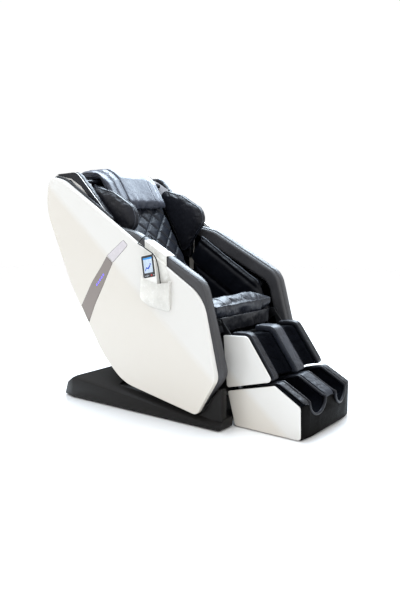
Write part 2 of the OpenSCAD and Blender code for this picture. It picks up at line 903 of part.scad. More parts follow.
// The cross shaft with its sole rollers under the foot wells
module foot_rollers() {
    color("#3d8f8a") {
        rod_across(roller_at, 6, -184, 184);
        both_sides() for (x = [70, 96, 122, 148]) translate([x, roller_at[0], roller_at[1]])
            rotate([0, 90, 0]) rotate_extrude() polygon(rounded([
                [5, 0, 0], [24, 0, 3], [30, 8, 3], [24, 16, 3], [5, 16, 0]
            ], 3));
    }
}

// ---- Remote ----

remote_lean = -12;
remote_centre = [6, 688];
remote_off = 2.6;
pouch_out = 17.4;
pouch_floor = 576;

// Places what is drawn with x out of the upper facet, and y and z as they lie in the chair
module on_facet() {
    translate([half_w, crease_at[0], crease_at[1]]) rotate([crease_slope, 0, 0])
        rotate([0, -upper_lean, 0]) rotate([-crease_slope, 0, 0])
        translate([0, -crease_at[0], -crease_at[1]]) children();
}

module on_remote() {
    mirror([1, 0, 0]) on_facet() translate([remote_off, remote_centre[0], remote_centre[1]])
        rotate([remote_lean, 0, 0]) children();
}

pouch_corners = [
    [-112, 655, 6], [-118, 516, 16], [2, 536, 30], [52, 566, 30], [52, 690, 10], [30, 668, 20],
    [-40, 648, 20]
];
// Where the saddle meets the arm, as a band across the arm's slope
saddle_band = [[-66, 1000], [-76, 700], [56, 768], [62, 1000]];

// The pouch on the shell, and the saddle that hooks it over the arm
module remote_holder() {
    color("#f2f1ee") mirror([1, 0, 0]) {
        difference() {
            on_facet() {
                across(skin_gap, 2) polygon(rounded([
                    [-112, 655, 6], [-118, 516, 16], [2, 536, 30], [52, 566, 30], [52, 802, 4],
                    [-76, 724, 4]
                ]));
                across(1.9, pouch_out) polygon(rounded(pouch_corners));
            }
            on_facet() {
                across(2, pouch_out - 2) difference() {
                    polygon(rounded(inset(pouch_corners, 3)));
                    translate([-far, -far]) square([2 * far, far + pouch_floor]);
                }
                across(2, 40) polygon([
                    [-105, 800], [-105, 648], [-40, 640], [30, 659], [49, 679], [49, 800]
                ]);
                // The pouch thins towards its foot
                translate([pouch_out, 0, 570]) rotate([0, 12, 0]) translate([0, -200, -200])
                    cube([60, 400, 200]);
            }
        }
        intersection() {
            difference() {
                across(arm_in + 6, 357) polygon(rounded(inset(arm_corners, -4)));
                across(arm_in + 4, 353.5) polygon(rounded(inset(arm_corners, -skin_gap)));
                across(350, 400) polygon(rounded(inset(shell_corners, -skin_gap)));
            }
            across(200, 400) polygon(saddle_band);
        }
        intersection() {
            across(356, 365.7) difference() {
                polygon(rounded(inset(shell_corners, -4)));
                polygon(rounded(inset(shell_corners, -skin_gap)));
            }
            across(200, 400) polygon(saddle_band);
        }
    }
}

// The remote's case, drawn face outwards, with wells for its screen and buttons
module remote_body() {
    color("#f4f4f2") on_remote() difference() {
        across(0, remote_t) polygon(rounded([
            [-remote_w / 2, remote_len / 2, 8], [-remote_w / 2, -remote_len / 2, 12],
            [remote_w / 2, -remote_len / 2, 12], [remote_w / 2, remote_len / 2, 8]
        ]));
        across(remote_t - 1.5, 40) polygon(rounded(screen_corners));
        for (y = button_spots) translate([remote_t - 7, y, button_z]) rotate([0, 90, 0])
            cylinder(r = 4.5, h = 20);
    }
}

screen_corners = [
    [-remote_w / 2 + 3, remote_len / 2 - 3, 6], [-remote_w / 2 + 3, -22, 3],
    [remote_w / 2 - 3, -22, 10], [remote_w / 2 - 3, remote_len / 2 - 3, 6]
];
button_spots = [-14, 12];
button_z = -13;

module remote_screen() {
    color("#0b0d12") on_remote() difference() {
        across(remote_t - 1.5, remote_t + 0.3) polygon(rounded(inset(screen_corners, 0.2)));
        for (y = button_spots) translate([remote_t - 4, y, button_z]) rotate([0, 90, 0])
            cylinder(r = 4.5, h = 20);
    }
}

module remote_button(y) {
    on_remote() translate([remote_t - 4, y, button_z]) rotate([0, 90, 0])
        cylinder(r = 4.2, h = 5.4);
}

module button_power() { color("#d02828") remote_button(button_spots[0]); }
module button_mode() { color("#b8bcc2") remote_button(button_spots[1]); }

// ---- Remote cord ----

cord_route = [
    [-284, 85, 806], [-278, 85, 806], [-272, 84, 810], [-269, 84, 818], [-270, 83, 829],
    [-276, 82, 841], [-286, 81, 850], [-298, 80, 854], [-312, 80, 854], [-326, 80, 852],
    [-340, 80, 848], [-351, 80, 842], [-359, 80, 835], [-367, 80, 829], [-374, 79, 825],
    [-381, 77, 822], [-384, 68, 818], [-383, 55, 812], [-383, 42, 806], [-383, 30, 800],
    [-383, 18, 794], [-383, 6, 788], [-383, -6, 782], [-382, -17, 774], [-381, -26, 764],
    [-379, -33, 752], [-377, -38, 734], [-376, -43, 712], [-377, -48, 690], [-379, -53, 670],
    [-380, -57, 650], [-382, -62, 628], [-384, -65, 610], [-386, -62, 597], [-387, -54, 588],
    [-387, -44, 584], [-387, -34, 586], [-387, -27, 594], [-387, -24, 605]
];
cord_sides = 8;

function lerp3(a, b, t) = a + (b - a) * t;
// A point of the smooth curve through the route, at place i + t
function route_point(p, i, t) =
    let (
        k = len(p) - 1,
        a = p[max(i - 1, 0)], b = p[i], c = p[min(i + 1, k)], d = p[min(i + 2, k)]
    )
    0.5 * (2 * b + (c - a) * t + (2 * a - 5 * b + 4 * c - d) * t * t
        + (3 * b - a - 3 * c + d) * t * t * t);

cord_line = [
    for (i = [0:len(cord_route) - 2], t = [0, 0.5]) route_point(cord_route, i, t),
    cord_route[len(cord_route) - 1]
];

module sweep_tube(line, d, sides) {
    n = len(line);
    rings = [for (i = [0:n - 1])
        let (
            along = unit(line[min(i + 1, n - 1)] - line[max(i - 1, 0)]),
            u = unit(cross([0, 1, 0], along)),
            v = cross(along, u)
        )
        for (j = [0:sides - 1])
            line[i] + d / 2 * (cos(360 * j / sides) * u + sin(360 * j / sides) * v)];
    faces = concat(
        [[for (j = [0:sides - 1]) j]],
        [for (i = [0:n - 2], j = [0:sides - 1])
            [i * sides + j, (i + 1) * sides + j, (i + 1) * sides + (j + 1) % sides,
             i * sides + (j + 1) % sides]],
        [[for (j = [sides - 1:-1:0]) (n - 1) * sides + j]]
    );
    polyhedron(points = rings, faces = faces);
}

module remote_cord() { color("#17171a") sweep_tube(cord_line, cord_d, cord_sides); }

module cord_grommet() {
    color("#202024") translate([-arm_in, 85, 806]) rotate([0, 90, 0])
        rotate_extrude() polygon([[0, 0], [9, 0], [9, 2], [5, 5.5], [0, 5.5]]);
}

base_frame();
base_cover();
base_feet();
control_box();
power_inlet();
power_switch();
transport_wheels();
tilt_actuator_tube();
tilt_actuator_rod();
seat_frame();
arm_frames();
air_pump();
side_shell_left();
side_shell_right();
shell_strip_left();
shell_strip_right();
strip_inserts();
strip_lights();
arm_pad_left();
arm_pad_right();
arm_cushion_left();
arm_cushion_right();
rim_trim_left();
rim_trim_right();
seat_cushion();
leg_flap();
lower_rear_cover();
remote_holder();
cord_grommet();
remote_cord();
recline_actuator_tube();
recline_actuator_rod();
leg_actuator_tube();
leg_actuator_rod();
back_frame();
back_cushion();
rear_cover();
head_surround();
shoulder_wing_left();
shoulder_wing_right();
head_pillow();
massage_carriage();
kneading_shaft();
calf_frame();
calf_pad();
calf_bolsters();
calf_panel_left();
calf_panel_right();
foot_casing();
foot_pad();
foot_bolsters();
foot_panel_left();
foot_panel_right();
foot_slide_rods();
foot_rollers();
remote_body();
remote_screen();
button_power();
button_mode();
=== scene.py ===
import math
from collections import Counter

import bmesh
import bpy
import numpy as np
from mathutils import Matrix, Vector, noise
from mathutils.bvhtree import BVHTree
from mathutils.geometry import delaunay_2d_cdt


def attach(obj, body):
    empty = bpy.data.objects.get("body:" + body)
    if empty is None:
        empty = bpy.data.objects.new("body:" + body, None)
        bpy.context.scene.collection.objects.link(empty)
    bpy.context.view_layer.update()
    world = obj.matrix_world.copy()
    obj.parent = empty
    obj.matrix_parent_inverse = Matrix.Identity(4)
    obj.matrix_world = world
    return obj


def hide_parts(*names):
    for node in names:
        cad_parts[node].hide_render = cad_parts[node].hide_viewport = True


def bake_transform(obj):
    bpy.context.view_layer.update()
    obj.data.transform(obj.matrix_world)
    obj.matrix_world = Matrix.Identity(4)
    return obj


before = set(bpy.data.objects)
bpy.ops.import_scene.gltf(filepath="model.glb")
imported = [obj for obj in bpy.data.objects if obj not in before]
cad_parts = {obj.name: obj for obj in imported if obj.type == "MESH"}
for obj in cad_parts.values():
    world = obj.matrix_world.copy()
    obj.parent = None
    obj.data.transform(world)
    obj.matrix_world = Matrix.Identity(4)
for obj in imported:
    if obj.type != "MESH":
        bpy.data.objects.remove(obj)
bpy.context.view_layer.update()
scene = bpy.context.scene

MM = 0.001
SIDES = ((1, "left"), (-1, "right"))  # +x is the sitter's left

CAMERA_AT = (-2.4654, -1.8908, 0.927)
CAMERA_AZIMUTH, CAMERA_PITCH = math.radians(37.6), math.radians(7.4)
CAMERA_LENS, CAMERA_SENSOR = 36.84, 36


# ---- camera
def make_camera():
    data = bpy.data.cameras.new("camera")
    data.sensor_width = CAMERA_SENSOR
    data.lens = CAMERA_LENS
    data.clip_end = 60
    cam = bpy.data.objects.new("camera", data)
    scene.collection.objects.link(cam)
    cam.location = CAMERA_AT
    look = Vector((
        math.cos(CAMERA_AZIMUTH) * math.cos(CAMERA_PITCH),
        math.sin(CAMERA_AZIMUTH) * math.cos(CAMERA_PITCH),
        -math.sin(CAMERA_PITCH),
    ))
    cam.rotation_euler = look.to_track_quat("-Z", "Y").to_euler()
    scene.camera = cam


make_camera()


# ---- outlines
def unit(v):
    return v / np.linalg.norm(v)


def corner_arc(a, p, b, r, step):
    """Points of the arc of radius r that rounds the corner p between a and b."""
    u, w = unit(a - p), unit(b - p)
    half = math.acos(max(-1, min(1, float(u @ w)))) / 2
    start, end = p + u * r / math.tan(half), p + w * r / math.tan(half)
    c = p + unit(u + w) * r / math.sin(half)
    a0 = math.atan2(*(start - c)[::-1])
    sweep = (math.atan2(*(end - c)[::-1]) - a0 + 3 * math.pi) % (2 * math.pi) - math.pi
    n = max(4, int(abs(sweep) * r / step))
    return [c + r * np.array([math.cos(a0 + sweep * i / n), math.sin(a0 + sweep * i / n)])
            for i in range(n + 1)]


def inset(corners, d):
    """The corners of an anticlockwise outline, moved inwards by d."""
    k, out = len(corners), []
    for i in range(k):
        p, q, s = (np.array(corners[j % k][:2], float) for j in (i - 1, i, i + 1))
        e1, e2 = unit(q - p), unit(s - q)
        n1, n2 = np.array([-e1[1], e1[0]]), np.array([-e2[1], e2[0]])
        m = q + d * (n1 + n2) / (1 + float(n1 @ n2))
        turn = e1[0] * e2[1] - e1[1] * e2[0]
        r = corners[i][2]
        out.append([m[0], m[1], max(0, r - d if turn > 0 else r + d)])
    return out


def rounded(corners, step=6.0):
    """A closed outline in mm with its corners rounded, and its straight parts divided."""
    k, pts = len(corners), []
    for i in range(k):
        a, p, b = (np.array(corners[j % k][:2], float) for j in (i - 1, i, i + 1))
        r = corners[i][2]
        pts += corner_arc(a, p, b, r, step) if r > 0.3 else [p]
    out = []
    for i, p in enumerate(pts):
        q = pts[(i + 1) % len(pts)]
        gap = np.linalg.norm(q - p)
        if gap < 0.05:
            continue
        n = max(1, int(gap / (2.2 * step)))
        out += [p + (q - p) * j / n for j in range(n)]
    return np.array(out)


# ---- meshes
WELD = 2e-5  # points of one CAD mesh nearer than this, in metres, become one
BEVEL_FROM, SHARP_FROM, PANEL_SHARP = 28, 32, 40  # degrees between faces
STITCH_PITCH, THREAD_R, PATH_STEP = 0.006, 0.00045, 0.005  # metres
EDGE_RINGS = (0, 0.13, 0.3, 0.5, 0.75, 1.0, 1.8, 3.2)  # of a panel, in edge radii


def new_object(name, verts, faces):
    mesh = bpy.data.meshes.new(name)
    mesh.from_pydata([tuple(map(float, v)) for v in verts], [], faces)
    mesh.update()
    obj = bpy.data.objects.new(name, mesh)
    scene.collection.objects.link(obj)
    mesh.shade_smooth()
    return obj


def coords(mesh, what="co"):
    out = np.empty(len(mesh.vertices) * 3)
    mesh.vertices.foreach_get(what, out)
    return out.reshape(-1, 3)


def set_coords(obj, co):
    obj.data.vertices.foreach_set("co", np.asarray(co, float).ravel())
    obj.data.update()


def modify(obj, kind, **values):
    """Adds a modifier with these values, and applies it."""
    m = obj.modifiers.new(kind.lower(), kind)
    for key, value in values.items():
        setattr(m, key, value)
    graph = bpy.context.evaluated_depsgraph_get()
    graph.update()
    mesh = bpy.data.meshes.new_from_object(obj.evaluated_get(graph))
    obj.modifiers.clear()
    old, obj.data = obj.data, mesh
    bpy.data.meshes.remove(old)


def copy_of(*nodes, name):
    """A new object with the meshes of these CAD nodes in one."""
    bm = bmesh.new()
    for node in nodes:
        bm.from_mesh(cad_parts[node].data)
    bmesh.ops.remove_doubles(bm, verts=bm.verts, dist=WELD)
    mesh = bpy.data.meshes.new(name)
    bm.to_mesh(mesh)
    bm.free()
    obj = bpy.data.objects.new(name, mesh)
    scene.collection.objects.link(obj)
    return obj


def remesh(obj, voxel):
    modify(obj, "REMESH", mode="VOXEL", voxel_size=voxel, use_smooth_shade=True)


def relax(obj, times):
    modify(obj, "SMOOTH", factor=0.5, iterations=times)


def subdivide(obj):
    modify(obj, "SUBSURF", levels=1, render_levels=1)


def keep(obj, test):
    """Drops the loose pieces whose x, in metres, fails the test."""
    bm = bmesh.new()
    bm.from_mesh(obj.data)
    bmesh.ops.delete(bm, geom=[v for v in bm.verts if not test(v.co.x)], context="VERTS")
    bm.to_mesh(obj.data)
    bm.free()


def push(obj, amount):
    """Moves each vertex along its normal by amount(co, no), in metres."""
    co, no = coords(obj.data), coords(obj.data, "normal")
    set_coords(obj, co + no * np.asarray(amount(co, no)).reshape(-1, 1))


def puff(obj, frames, cap):
    """Swells a closed mesh as stuffed cloth, each point moving by at most cap."""
    before = coords(obj.data)
    m = obj.modifiers.new("Cloth", "CLOTH")
    s = m.settings
    s.quality = 5
    s.mass = 0.3
    s.tension_stiffness = s.compression_stiffness = 15
    s.shear_stiffness = 5
    s.bending_stiffness = 0.6
    s.use_pressure = True
    s.uniform_pressure_force = 4
    s.effector_weights.gravity = 0
    m.point_cache.frame_start, m.point_cache.frame_end = 1, frames
    for f in range(1, frames + 1):
        scene.frame_set(f)
    graph = bpy.context.evaluated_depsgraph_get()
    mesh = obj.evaluated_get(graph).to_mesh()
    move = coords(mesh) - before
    obj.evaluated_get(graph).to_mesh_clear()
    obj.modifiers.clear()
    scene.frame_set(1)
    length = np.linalg.norm(move, axis=1, keepdims=True)
    move *= np.minimum(1, cap / np.maximum(length, 1e-9))
    set_coords(obj, before + move)


def fbm(co, size, seed=0.0, octaves=3):
    """Smooth noise of about -1 to 1, with features of that size in metres."""
    shift = Vector((seed * 3.1, seed * 1.7, seed * 2.3))
    return np.array([noise.fractal(Vector(p) / size + shift, 1.0, 2.0, octaves) for p in co])


def groove(distance, width, depth):
    return -depth * np.exp(-((distance / width) ** 2))


def finish_piece(obj, body, material, slot, *nodes, padded=None):
    obj.data.materials.clear()
    obj.data.materials.append(material)
    obj.data.polygons.foreach_set("material_index", [0] * len(obj.data.polygons))
    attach(obj, body)
    if nodes:
        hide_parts(*nodes)
    return obj


def hard(node, body, material, slot, bevel):
    """A rigid CAD part with its sharp edges rounded, by bevel mm."""
    obj = copy_of(node, name=node + "_body")
    bm = bmesh.new()
    bm.from_mesh(obj.data)
    bmesh.ops.dissolve_limit(bm, angle_limit=math.radians(0.5), verts=bm.verts, edges=bm.edges)
    bm.to_mesh(obj.data)
    bm.free()
    modify(obj, "BEVEL", width=bevel * MM, segments=2, limit_method="ANGLE",
           angle_limit=math.radians(BEVEL_FROM), use_clamp_overlap=True)
    obj.data.shade_smooth()
    obj.data.set_sharp_from_angle(angle=math.radians(SHARP_FROM))
    return finish_piece(obj, body, material, slot, node)


def panel(name, corners, x_face, x_floor, edge, grid, step=6.0, side=1):
    """A moulded panel, drawn as a side outline in mm, with a rounded edge. x_face is the outer
    face's x in mm, a number or a function of y and z."""
    face = x_face if callable(x_face) else (lambda y, z: np.full(np.shape(y), float(x_face)))
    loops = [rounded(inset(corners, k * edge), step) for k in EDGE_RINGS]
    pts, edges = [], []
    for loop in loops:
        base = len(pts)
        pts += [tuple(p) for p in loop]
        edges += [(base + i, base + (i + 1) % len(loop)) for i in range(len(loop))]
    outer = loops[0]
    low, high = outer.min(0), outer.max(0)
    ys = np.arange(low[0] + grid / 2, high[0], grid)
    zs = np.arange(low[1] + grid / 2, high[1], grid)
    cells = np.array([(y + (j % 2) * grid / 2, z) for j, z in enumerate(zs) for y in ys])
    d, inside = outline_distance(cells, outer)
    pts += [tuple(p) for p in cells[inside & (d > EDGE_RINGS[-1] * edge + grid * 0.4)]]
    out = delaunay_2d_cdt([Vector(p) for p in pts], edges, [list(range(len(outer)))], 1, 1e-4)
    flat = np.array([tuple(v) for v in out[0]])
    tris = [tuple(f) for f in out[2]]
    d, _ = outline_distance(flat, outer)
    t = np.clip(d / edge, 0, 1)
    x = face(flat[:, 0], flat[:, 1]) - edge * (1 - np.sqrt(np.clip(1 - (1 - t) ** 2, 0, 1)))
    n = len(flat)
    top = np.column_stack([x, flat])
    floor = np.column_stack([np.full(n, float(x_floor)), flat])
    verts = np.vstack([top, floor]) * MM
    verts[:, 0] *= side
    sides = [edge for f in tris for edge in zip(f, f[1:] + f[:1])]
    count = Counter(frozenset(edge) for edge in sides)
    faces = tris + [tuple(i + n for i in reversed(f)) for f in tris]
    faces += [(b, a, a + n, b + n) for a, b in sides if count[frozenset((a, b))] == 1]
    if side < 0:
        faces = [tuple(reversed(f)) for f in faces]
    obj = new_object(name, verts, faces)
    obj.data.set_sharp_from_angle(angle=math.radians(PANEL_SHARP))
    return obj


def outline_distance(pts, outline):
    """How far each point is from a closed outline, and whether it is inside."""
    pts = np.asarray(pts, float)
    a, b = outline, np.roll(outline, -1, axis=0)
    best = np.full(len(pts), 1e9)
    inside = np.zeros(len(pts), bool)
    for p, q in zip(a, b):
        e = q - p
        t = np.clip(((pts - p) @ e) / (e @ e), 0, 1)
        best = np.minimum(best, np.hypot(*(pts - (p + t[:, None] * e)).T))
        if p[1] != q[1]:
            cross = (pts[:, 1] > min(p[1], q[1])) & (pts[:, 1] <= max(p[1], q[1]))
            xs = p[0] + (pts[:, 1] - p[1]) * e[0] / e[1]
            inside ^= cross & (pts[:, 0] < xs)
    return best, inside


def tube(name, path, radius, sides, closed=False):
    """A round tube along points in metres. radius is a number or one for each point."""
    path = [Vector(p) for p in path]
    n = len(path)
    radii = [radius] * n if isinstance(radius, (int, float)) else list(radius)
    verts, faces, across_dir = [], [], None
    for i, p in enumerate(path):
        a = path[(i - 1) % n] if closed or i else p
        b = path[(i + 1) % n] if closed or i < n - 1 else p
        t = (b - a).normalized()
        if across_dir is None:
            across_dir = t.orthogonal().normalized()
        across_dir = (across_dir - t * across_dir.dot(t)).normalized()
        up = t.cross(across_dir)
        for k in range(sides):
            w = 2 * math.pi * k / sides
            verts.append(p + radii[i] * (across_dir * math.cos(w) + up * math.sin(w)))
    for i in range(n if closed else n - 1):
        for k in range(sides):
            j, m = (i + 1) % n, (k + 1) % sides
            faces.append((i * sides + k, i * sides + m, j * sides + m, j * sides + k))
    if not closed:
        faces.append(tuple(reversed(range(sides))))
        faces.append(tuple((n - 1) * sides + k for k in range(sides)))
    return new_object(name, verts, faces)


def smooth_path(points, per):
    """A Catmull-Rom line through the points, with per steps between two of them."""
    pts = [Vector(p) for p in points]
    pts = [2 * pts[0] - pts[1]] + pts + [2 * pts[-1] - pts[-2]]
    out = []
    for i in range(1, len(pts) - 2):
        p0, p1, p2, p3 = pts[i - 1:i + 3]
        for k in range(per):
            t = k / per
            out.append(0.5 * (2 * p1 + (p2 - p0) * t + (2 * p0 - 5 * p1 + 4 * p2 - p3) * t * t
                              + (3 * p1 - p0 - 3 * p2 + p3) * t ** 3))
    out.append(pts[-2])
    return out


def mesh_tree(obj):
    return BVHTree.FromPolygons([v.co for v in obj.data.vertices],
                                [tuple(p.vertices) for p in obj.data.polygons])


def laid_on(obj, path, height, closed):
    """The path, moved onto a piece's surface and lifted off it by height."""
    tree, pts = mesh_tree(obj), []
    for p in path:
        at, normal, _, _ = tree.find_nearest(Vector(p))
        pts.append(at + normal * height)
    last = len(pts) - 1
    for _ in range(3):
        pts = [(pts[i - 1 if closed or i else 0] + 2 * pts[i]
                + pts[(i + 1) % len(pts) if closed else min(i + 1, last)]) / 4
               for i in range(len(pts))]
    return pts


def welt(name, obj, path, radius, body, material, slot, closed=True):
    """A piped edge sewn along a soft piece."""
    line = tube(name, laid_on(obj, path, radius * 0.35, closed), radius, 8, closed)
    return finish_piece(line, body, material, slot)


def stitches(name, obj, path, body, material, slot):
    """A row of short raised threads along an open path on a soft piece."""
    pts = laid_on(obj, path, 0.0002, False)
    verts, faces, run = [], [], 0.0
    for a, b in zip(pts, pts[1:]):
        run += (b - a).length
        if run < STITCH_PITCH:
            continue
        run = 0.0
        along = (b - a).normalized() * STITCH_PITCH * 0.32
        mid = (a + b) / 2
        u = along.orthogonal().normalized() * THREAD_R
        v = along.cross(u).normalized() * THREAD_R
        base = len(verts)
        for end, size in ((-1.0, 0.4), (-0.7, 1.0), (0.7, 1.0), (1.0, 0.4)):
            for k in range(6):
                w = 2 * math.pi * k / 6
                verts.append(mid + along * end + (u * math.cos(w) + v * math.sin(w)) * size)
        for at in (base, base + 6, base + 12):
            for k in range(6):
                m = (k + 1) % 6
                faces.append((at + k, at + m, at + 6 + m, at + 6 + k))
        faces += [tuple(range(base + 5, base - 1, -1)), tuple(range(base + 18, base + 24))]
    return finish_piece(new_object(name, verts, faces), body, material, slot)


def side_loop(corners, x):
    """A closed path in metres: a side outline at x."""
    return [(x * MM, y * MM, z * MM) for y, z in rounded(corners, 5.0)]


def resample(path):
    """Points every PATH_STEP along straight legs."""
    out = []
    for a, b in zip(path, path[1:]):
        a, b = Vector(a), Vector(b)
        n = max(1, int((b - a).length / PATH_STEP))
        out += [a + (b - a) * i / n for i in range(n)]
    return out + [Vector(path[-1])]


# ---- materials
class Nodes:
    """A small builder for one procedural material."""

    def __init__(self, name):
        self.mat = bpy.data.materials.new(name)
        self.mat.use_nodes = True
        self.tree = self.mat.node_tree
        self.shader = self.tree.nodes["Principled BSDF"]
        self.place = self.add("ShaderNodeTexCoord").outputs["Object"]

    def add(self, kind, **values):
        node = self.tree.nodes.new(kind)
        for k, v in values.items():
            setattr(node, k, v)
        return node

    def link(self, a, b):
        self.tree.links.new(a, b)

    def stretch(self, scale=(1, 1, 1), turn=(0, 0, 0)):
        m = self.add("ShaderNodeMapping")
        m.inputs["Scale"].default_value = scale
        m.inputs["Rotation"].default_value = turn
        self.link(self.place, m.inputs["Vector"])
        return m.outputs["Vector"]

    def noise(self, scale, detail=3.0, rough=0.5, place=None, warp=0.0):
        n = self.add("ShaderNodeTexNoise")
        n.inputs["Scale"].default_value = scale
        n.inputs["Detail"].default_value = detail
        n.inputs["Roughness"].default_value = rough
        n.inputs["Distortion"].default_value = warp
        self.link(place or self.place, n.inputs["Vector"])
        return n.outputs["Fac"]

    def cells(self, scale, feature="F1", place=None):
        v = self.add("ShaderNodeTexVoronoi", feature=feature)
        v.inputs["Scale"].default_value = scale
        self.link(place or self.place, v.inputs["Vector"])
        return v.outputs["Distance"]

    def wave(self, scale, direction, place=None, warp=0.0):
        w = self.add("ShaderNodeTexWave", bands_direction=direction)
        w.inputs["Scale"].default_value = scale
        w.inputs["Distortion"].default_value = warp
        self.link(place or self.place, w.inputs["Vector"])
        return w.outputs["Fac"]

    def ramp(self, fac, *stops):
        r = self.add("ShaderNodeValToRGB")
        while len(r.color_ramp.elements) < len(stops):
            r.color_ramp.elements.new(0.5)
        for e, (at, colour) in zip(r.color_ramp.elements, stops):
            e.position = at
            e.color = (*colour, 1) if hasattr(colour, "__len__") else (colour,) * 3 + (1,)
        self.link(fac, r.inputs["Fac"])
        return r.outputs["Color"]

    def math(self, operation, a, b):
        m = self.add("ShaderNodeMath", operation=operation)
        for socket, value in zip(m.inputs, (a, b)):
            if isinstance(value, (int, float)):
                socket.default_value = value
            else:
                self.link(value, socket)
        return m.outputs[0]

    def mix(self, fac, a, b):
        m = self.add("ShaderNodeMix", data_type="RGBA")
        for socket, value in ((m.inputs[0], fac), (m.inputs[6], a), (m.inputs[7], b)):
            if hasattr(value, "is_output"):
                self.link(value, socket)
            else:
                socket.default_value = value if isinstance(value, float) else (*value, 1)
        return m.outputs[2]

    def bump(self, height, distance, strength=1.0, after=None):
        b = self.add("ShaderNodeBump")
        b.inputs["Distance"].default_value = distance
        b.inputs["Strength"].default_value = strength
        self.link(height, b.inputs["Height"])
        if after is not None:
            self.link(after, b.inputs["Normal"])
        return b.outputs["Normal"]

    def set(self, **values):
        names = {"colour": "Base Color", "rough": "Roughness", "metal": "Metallic",
                 "normal": "Normal", "coat": "Coat Weight", "coat_rough": "Coat Roughness",
                 "specular": "Specular IOR Level", "emission": "Emission Color",
                 "glow": "Emission Strength"}
        for k, v in values.items():
            socket = self.shader.inputs[names[k]]
            if hasattr(v, "is_output"):
                self.link(v, socket)
            elif hasattr(v, "__len__"):
                socket.default_value = (*v, 1)
            else:
                socket.default_value = v
        return self.mat


def tint(colour, k):
    return tuple(min(1.0, c * k) for c in colour)


def leather(name, colour, rough, grain=620, crease=0.00035, specular=0.34):
    """Split leather: pebbled grain, fine creases, and polish that varies over the hide."""
    n = Nodes(name)
    pebble = n.cells(grain, "SMOOTH_F1")
    fine = n.noise(grain * 2.6, 2)
    folds = n.noise(26, 5, 0.62, n.stretch((1, 0.6, 1)), 1.2)
    veins = n.cells(90, "DISTANCE_TO_EDGE", n.stretch((1, 1.3, 0.8)))
    patch = n.noise(6.5, 3)
    worn = n.noise(55, 4, 0.6)
    base = n.ramp(patch, (0.3, tint(colour, 0.78)), (0.55, colour), (0.78, tint(colour, 1.24)))
    base = n.mix(n.ramp(worn, (0.52, 0.0), (0.78, 0.35)), base, tint(colour, 1.55))
    base = n.mix(n.ramp(pebble, (0.35, 0.0), (0.9, 0.5)), base, tint(colour, 0.62))
    r = n.ramp(n.math("ADD", n.math("MULTIPLY", patch, 0.5), n.math("MULTIPLY", worn, 0.5)),
               (0.3, rough - 0.09), (0.72, rough + 0.13))
    normal = n.bump(folds, 0.0035, 0.35)
    normal = n.bump(veins, crease, 0.25, normal)
    normal = n.bump(pebble, 0.0005, 0.38, normal)
    normal = n.bump(fine, 0.0002, 0.3, normal)
    return n.set(colour=base, rough=r, normal=normal, specular=specular)


def gloss(name, colour, rough, coat, warm=(1.0, 0.97, 0.92), crease=None):
    """Lacquered plastic: faint orange peel, tiny scuffs, uneven polish.

    With a crease, the colour is painted darker and warmer below it, as shade on the lower facet."""
    n = Nodes(name)
    cloud = n.noise(3.2, 3)
    peel = n.noise(420, 2)
    scuff = n.noise(260, 5, 0.7, n.stretch((1, 6, 1.4), (0.4, 0, 0)))
    dust = n.noise(34, 6, 0.68)
    # the colour times warm: painted shade below a crease, random cloudy tone otherwise
    facet_shade_and_cloud_tone = tuple(c * w for c, w in zip(colour, warm))
    base = n.ramp(cloud, (0.3, colour), (0.7, tint(colour, 0.985)))
    # painted shade: below the crease line the colour mixes to the darker, warmer tint
    if crease:
        y, z, slope = crease
        s, c = math.sin(math.radians(slope)), math.cos(math.radians(slope))
        above = n.add("ShaderNodeVectorMath", operation="DOT_PRODUCT")
        above.inputs[1].default_value = (0, -s, c)
        n.link(n.place, above.inputs[0])
        height = n.math("SUBTRACT", above.outputs["Value"], (-y * s + z * c) * MM)
        side = n.math("ADD", n.math("MULTIPLY", height, 30.0), 0.5)
        base = n.mix(n.ramp(side, (0.0, 1.0), (1.0, 0.0)), base, facet_shade_and_cloud_tone)
    else:
        base = n.mix(n.ramp(cloud, (0.3, 0.0), (0.7, 1.0)), base, facet_shade_and_cloud_tone)
    base = n.mix(n.ramp(dust, (0.56, 0.0), (0.85, 0.12)), base, tint(colour, 0.8))
    r = n.ramp(n.math("MAXIMUM", n.math("MULTIPLY", scuff, 0.9), dust),
               (0.42, rough - 0.06), (0.62, rough), (0.85, rough + 0.2))
    normal = n.bump(peel, 0.00012, 0.22)
    normal = n.bump(scuff, 0.00004, 0.2, normal)
    return n.set(colour=base, rough=r, normal=normal, coat=coat, coat_rough=0.06)


def moulded(name, colour, rough, grain=1300):
    """Satin injection-moulded plastic with a spark-eroded texture and some dust."""
    n = Nodes(name)
    texture = n.noise(grain, 3, 0.6)
    cloud = n.noise(5, 4)
    dust = n.noise(70, 7, 0.7)
    flow = n.noise(22, 3, 0.5, n.stretch((1, 0.25, 1)))
    base = n.ramp(cloud, (0.3, tint(colour, 0.82)), (0.7, tint(colour, 1.18)))
    base = n.mix(n.ramp(dust, (0.55, 0.0), (0.85, 0.3)), base, tint(colour, 2.0))
    r = n.ramp(n.math("ADD", n.math("MULTIPLY", dust, 0.6), n.math("MULTIPLY", flow, 0.4)),
               (0.35, rough - 0.1), (0.7, rough + 0.12))
    normal = n.bump(texture, 0.00022, 0.45)
    normal = n.bump(flow, 0.0008, 0.1, normal)
    return n.set(colour=base, rough=r, normal=normal, specular=0.16)


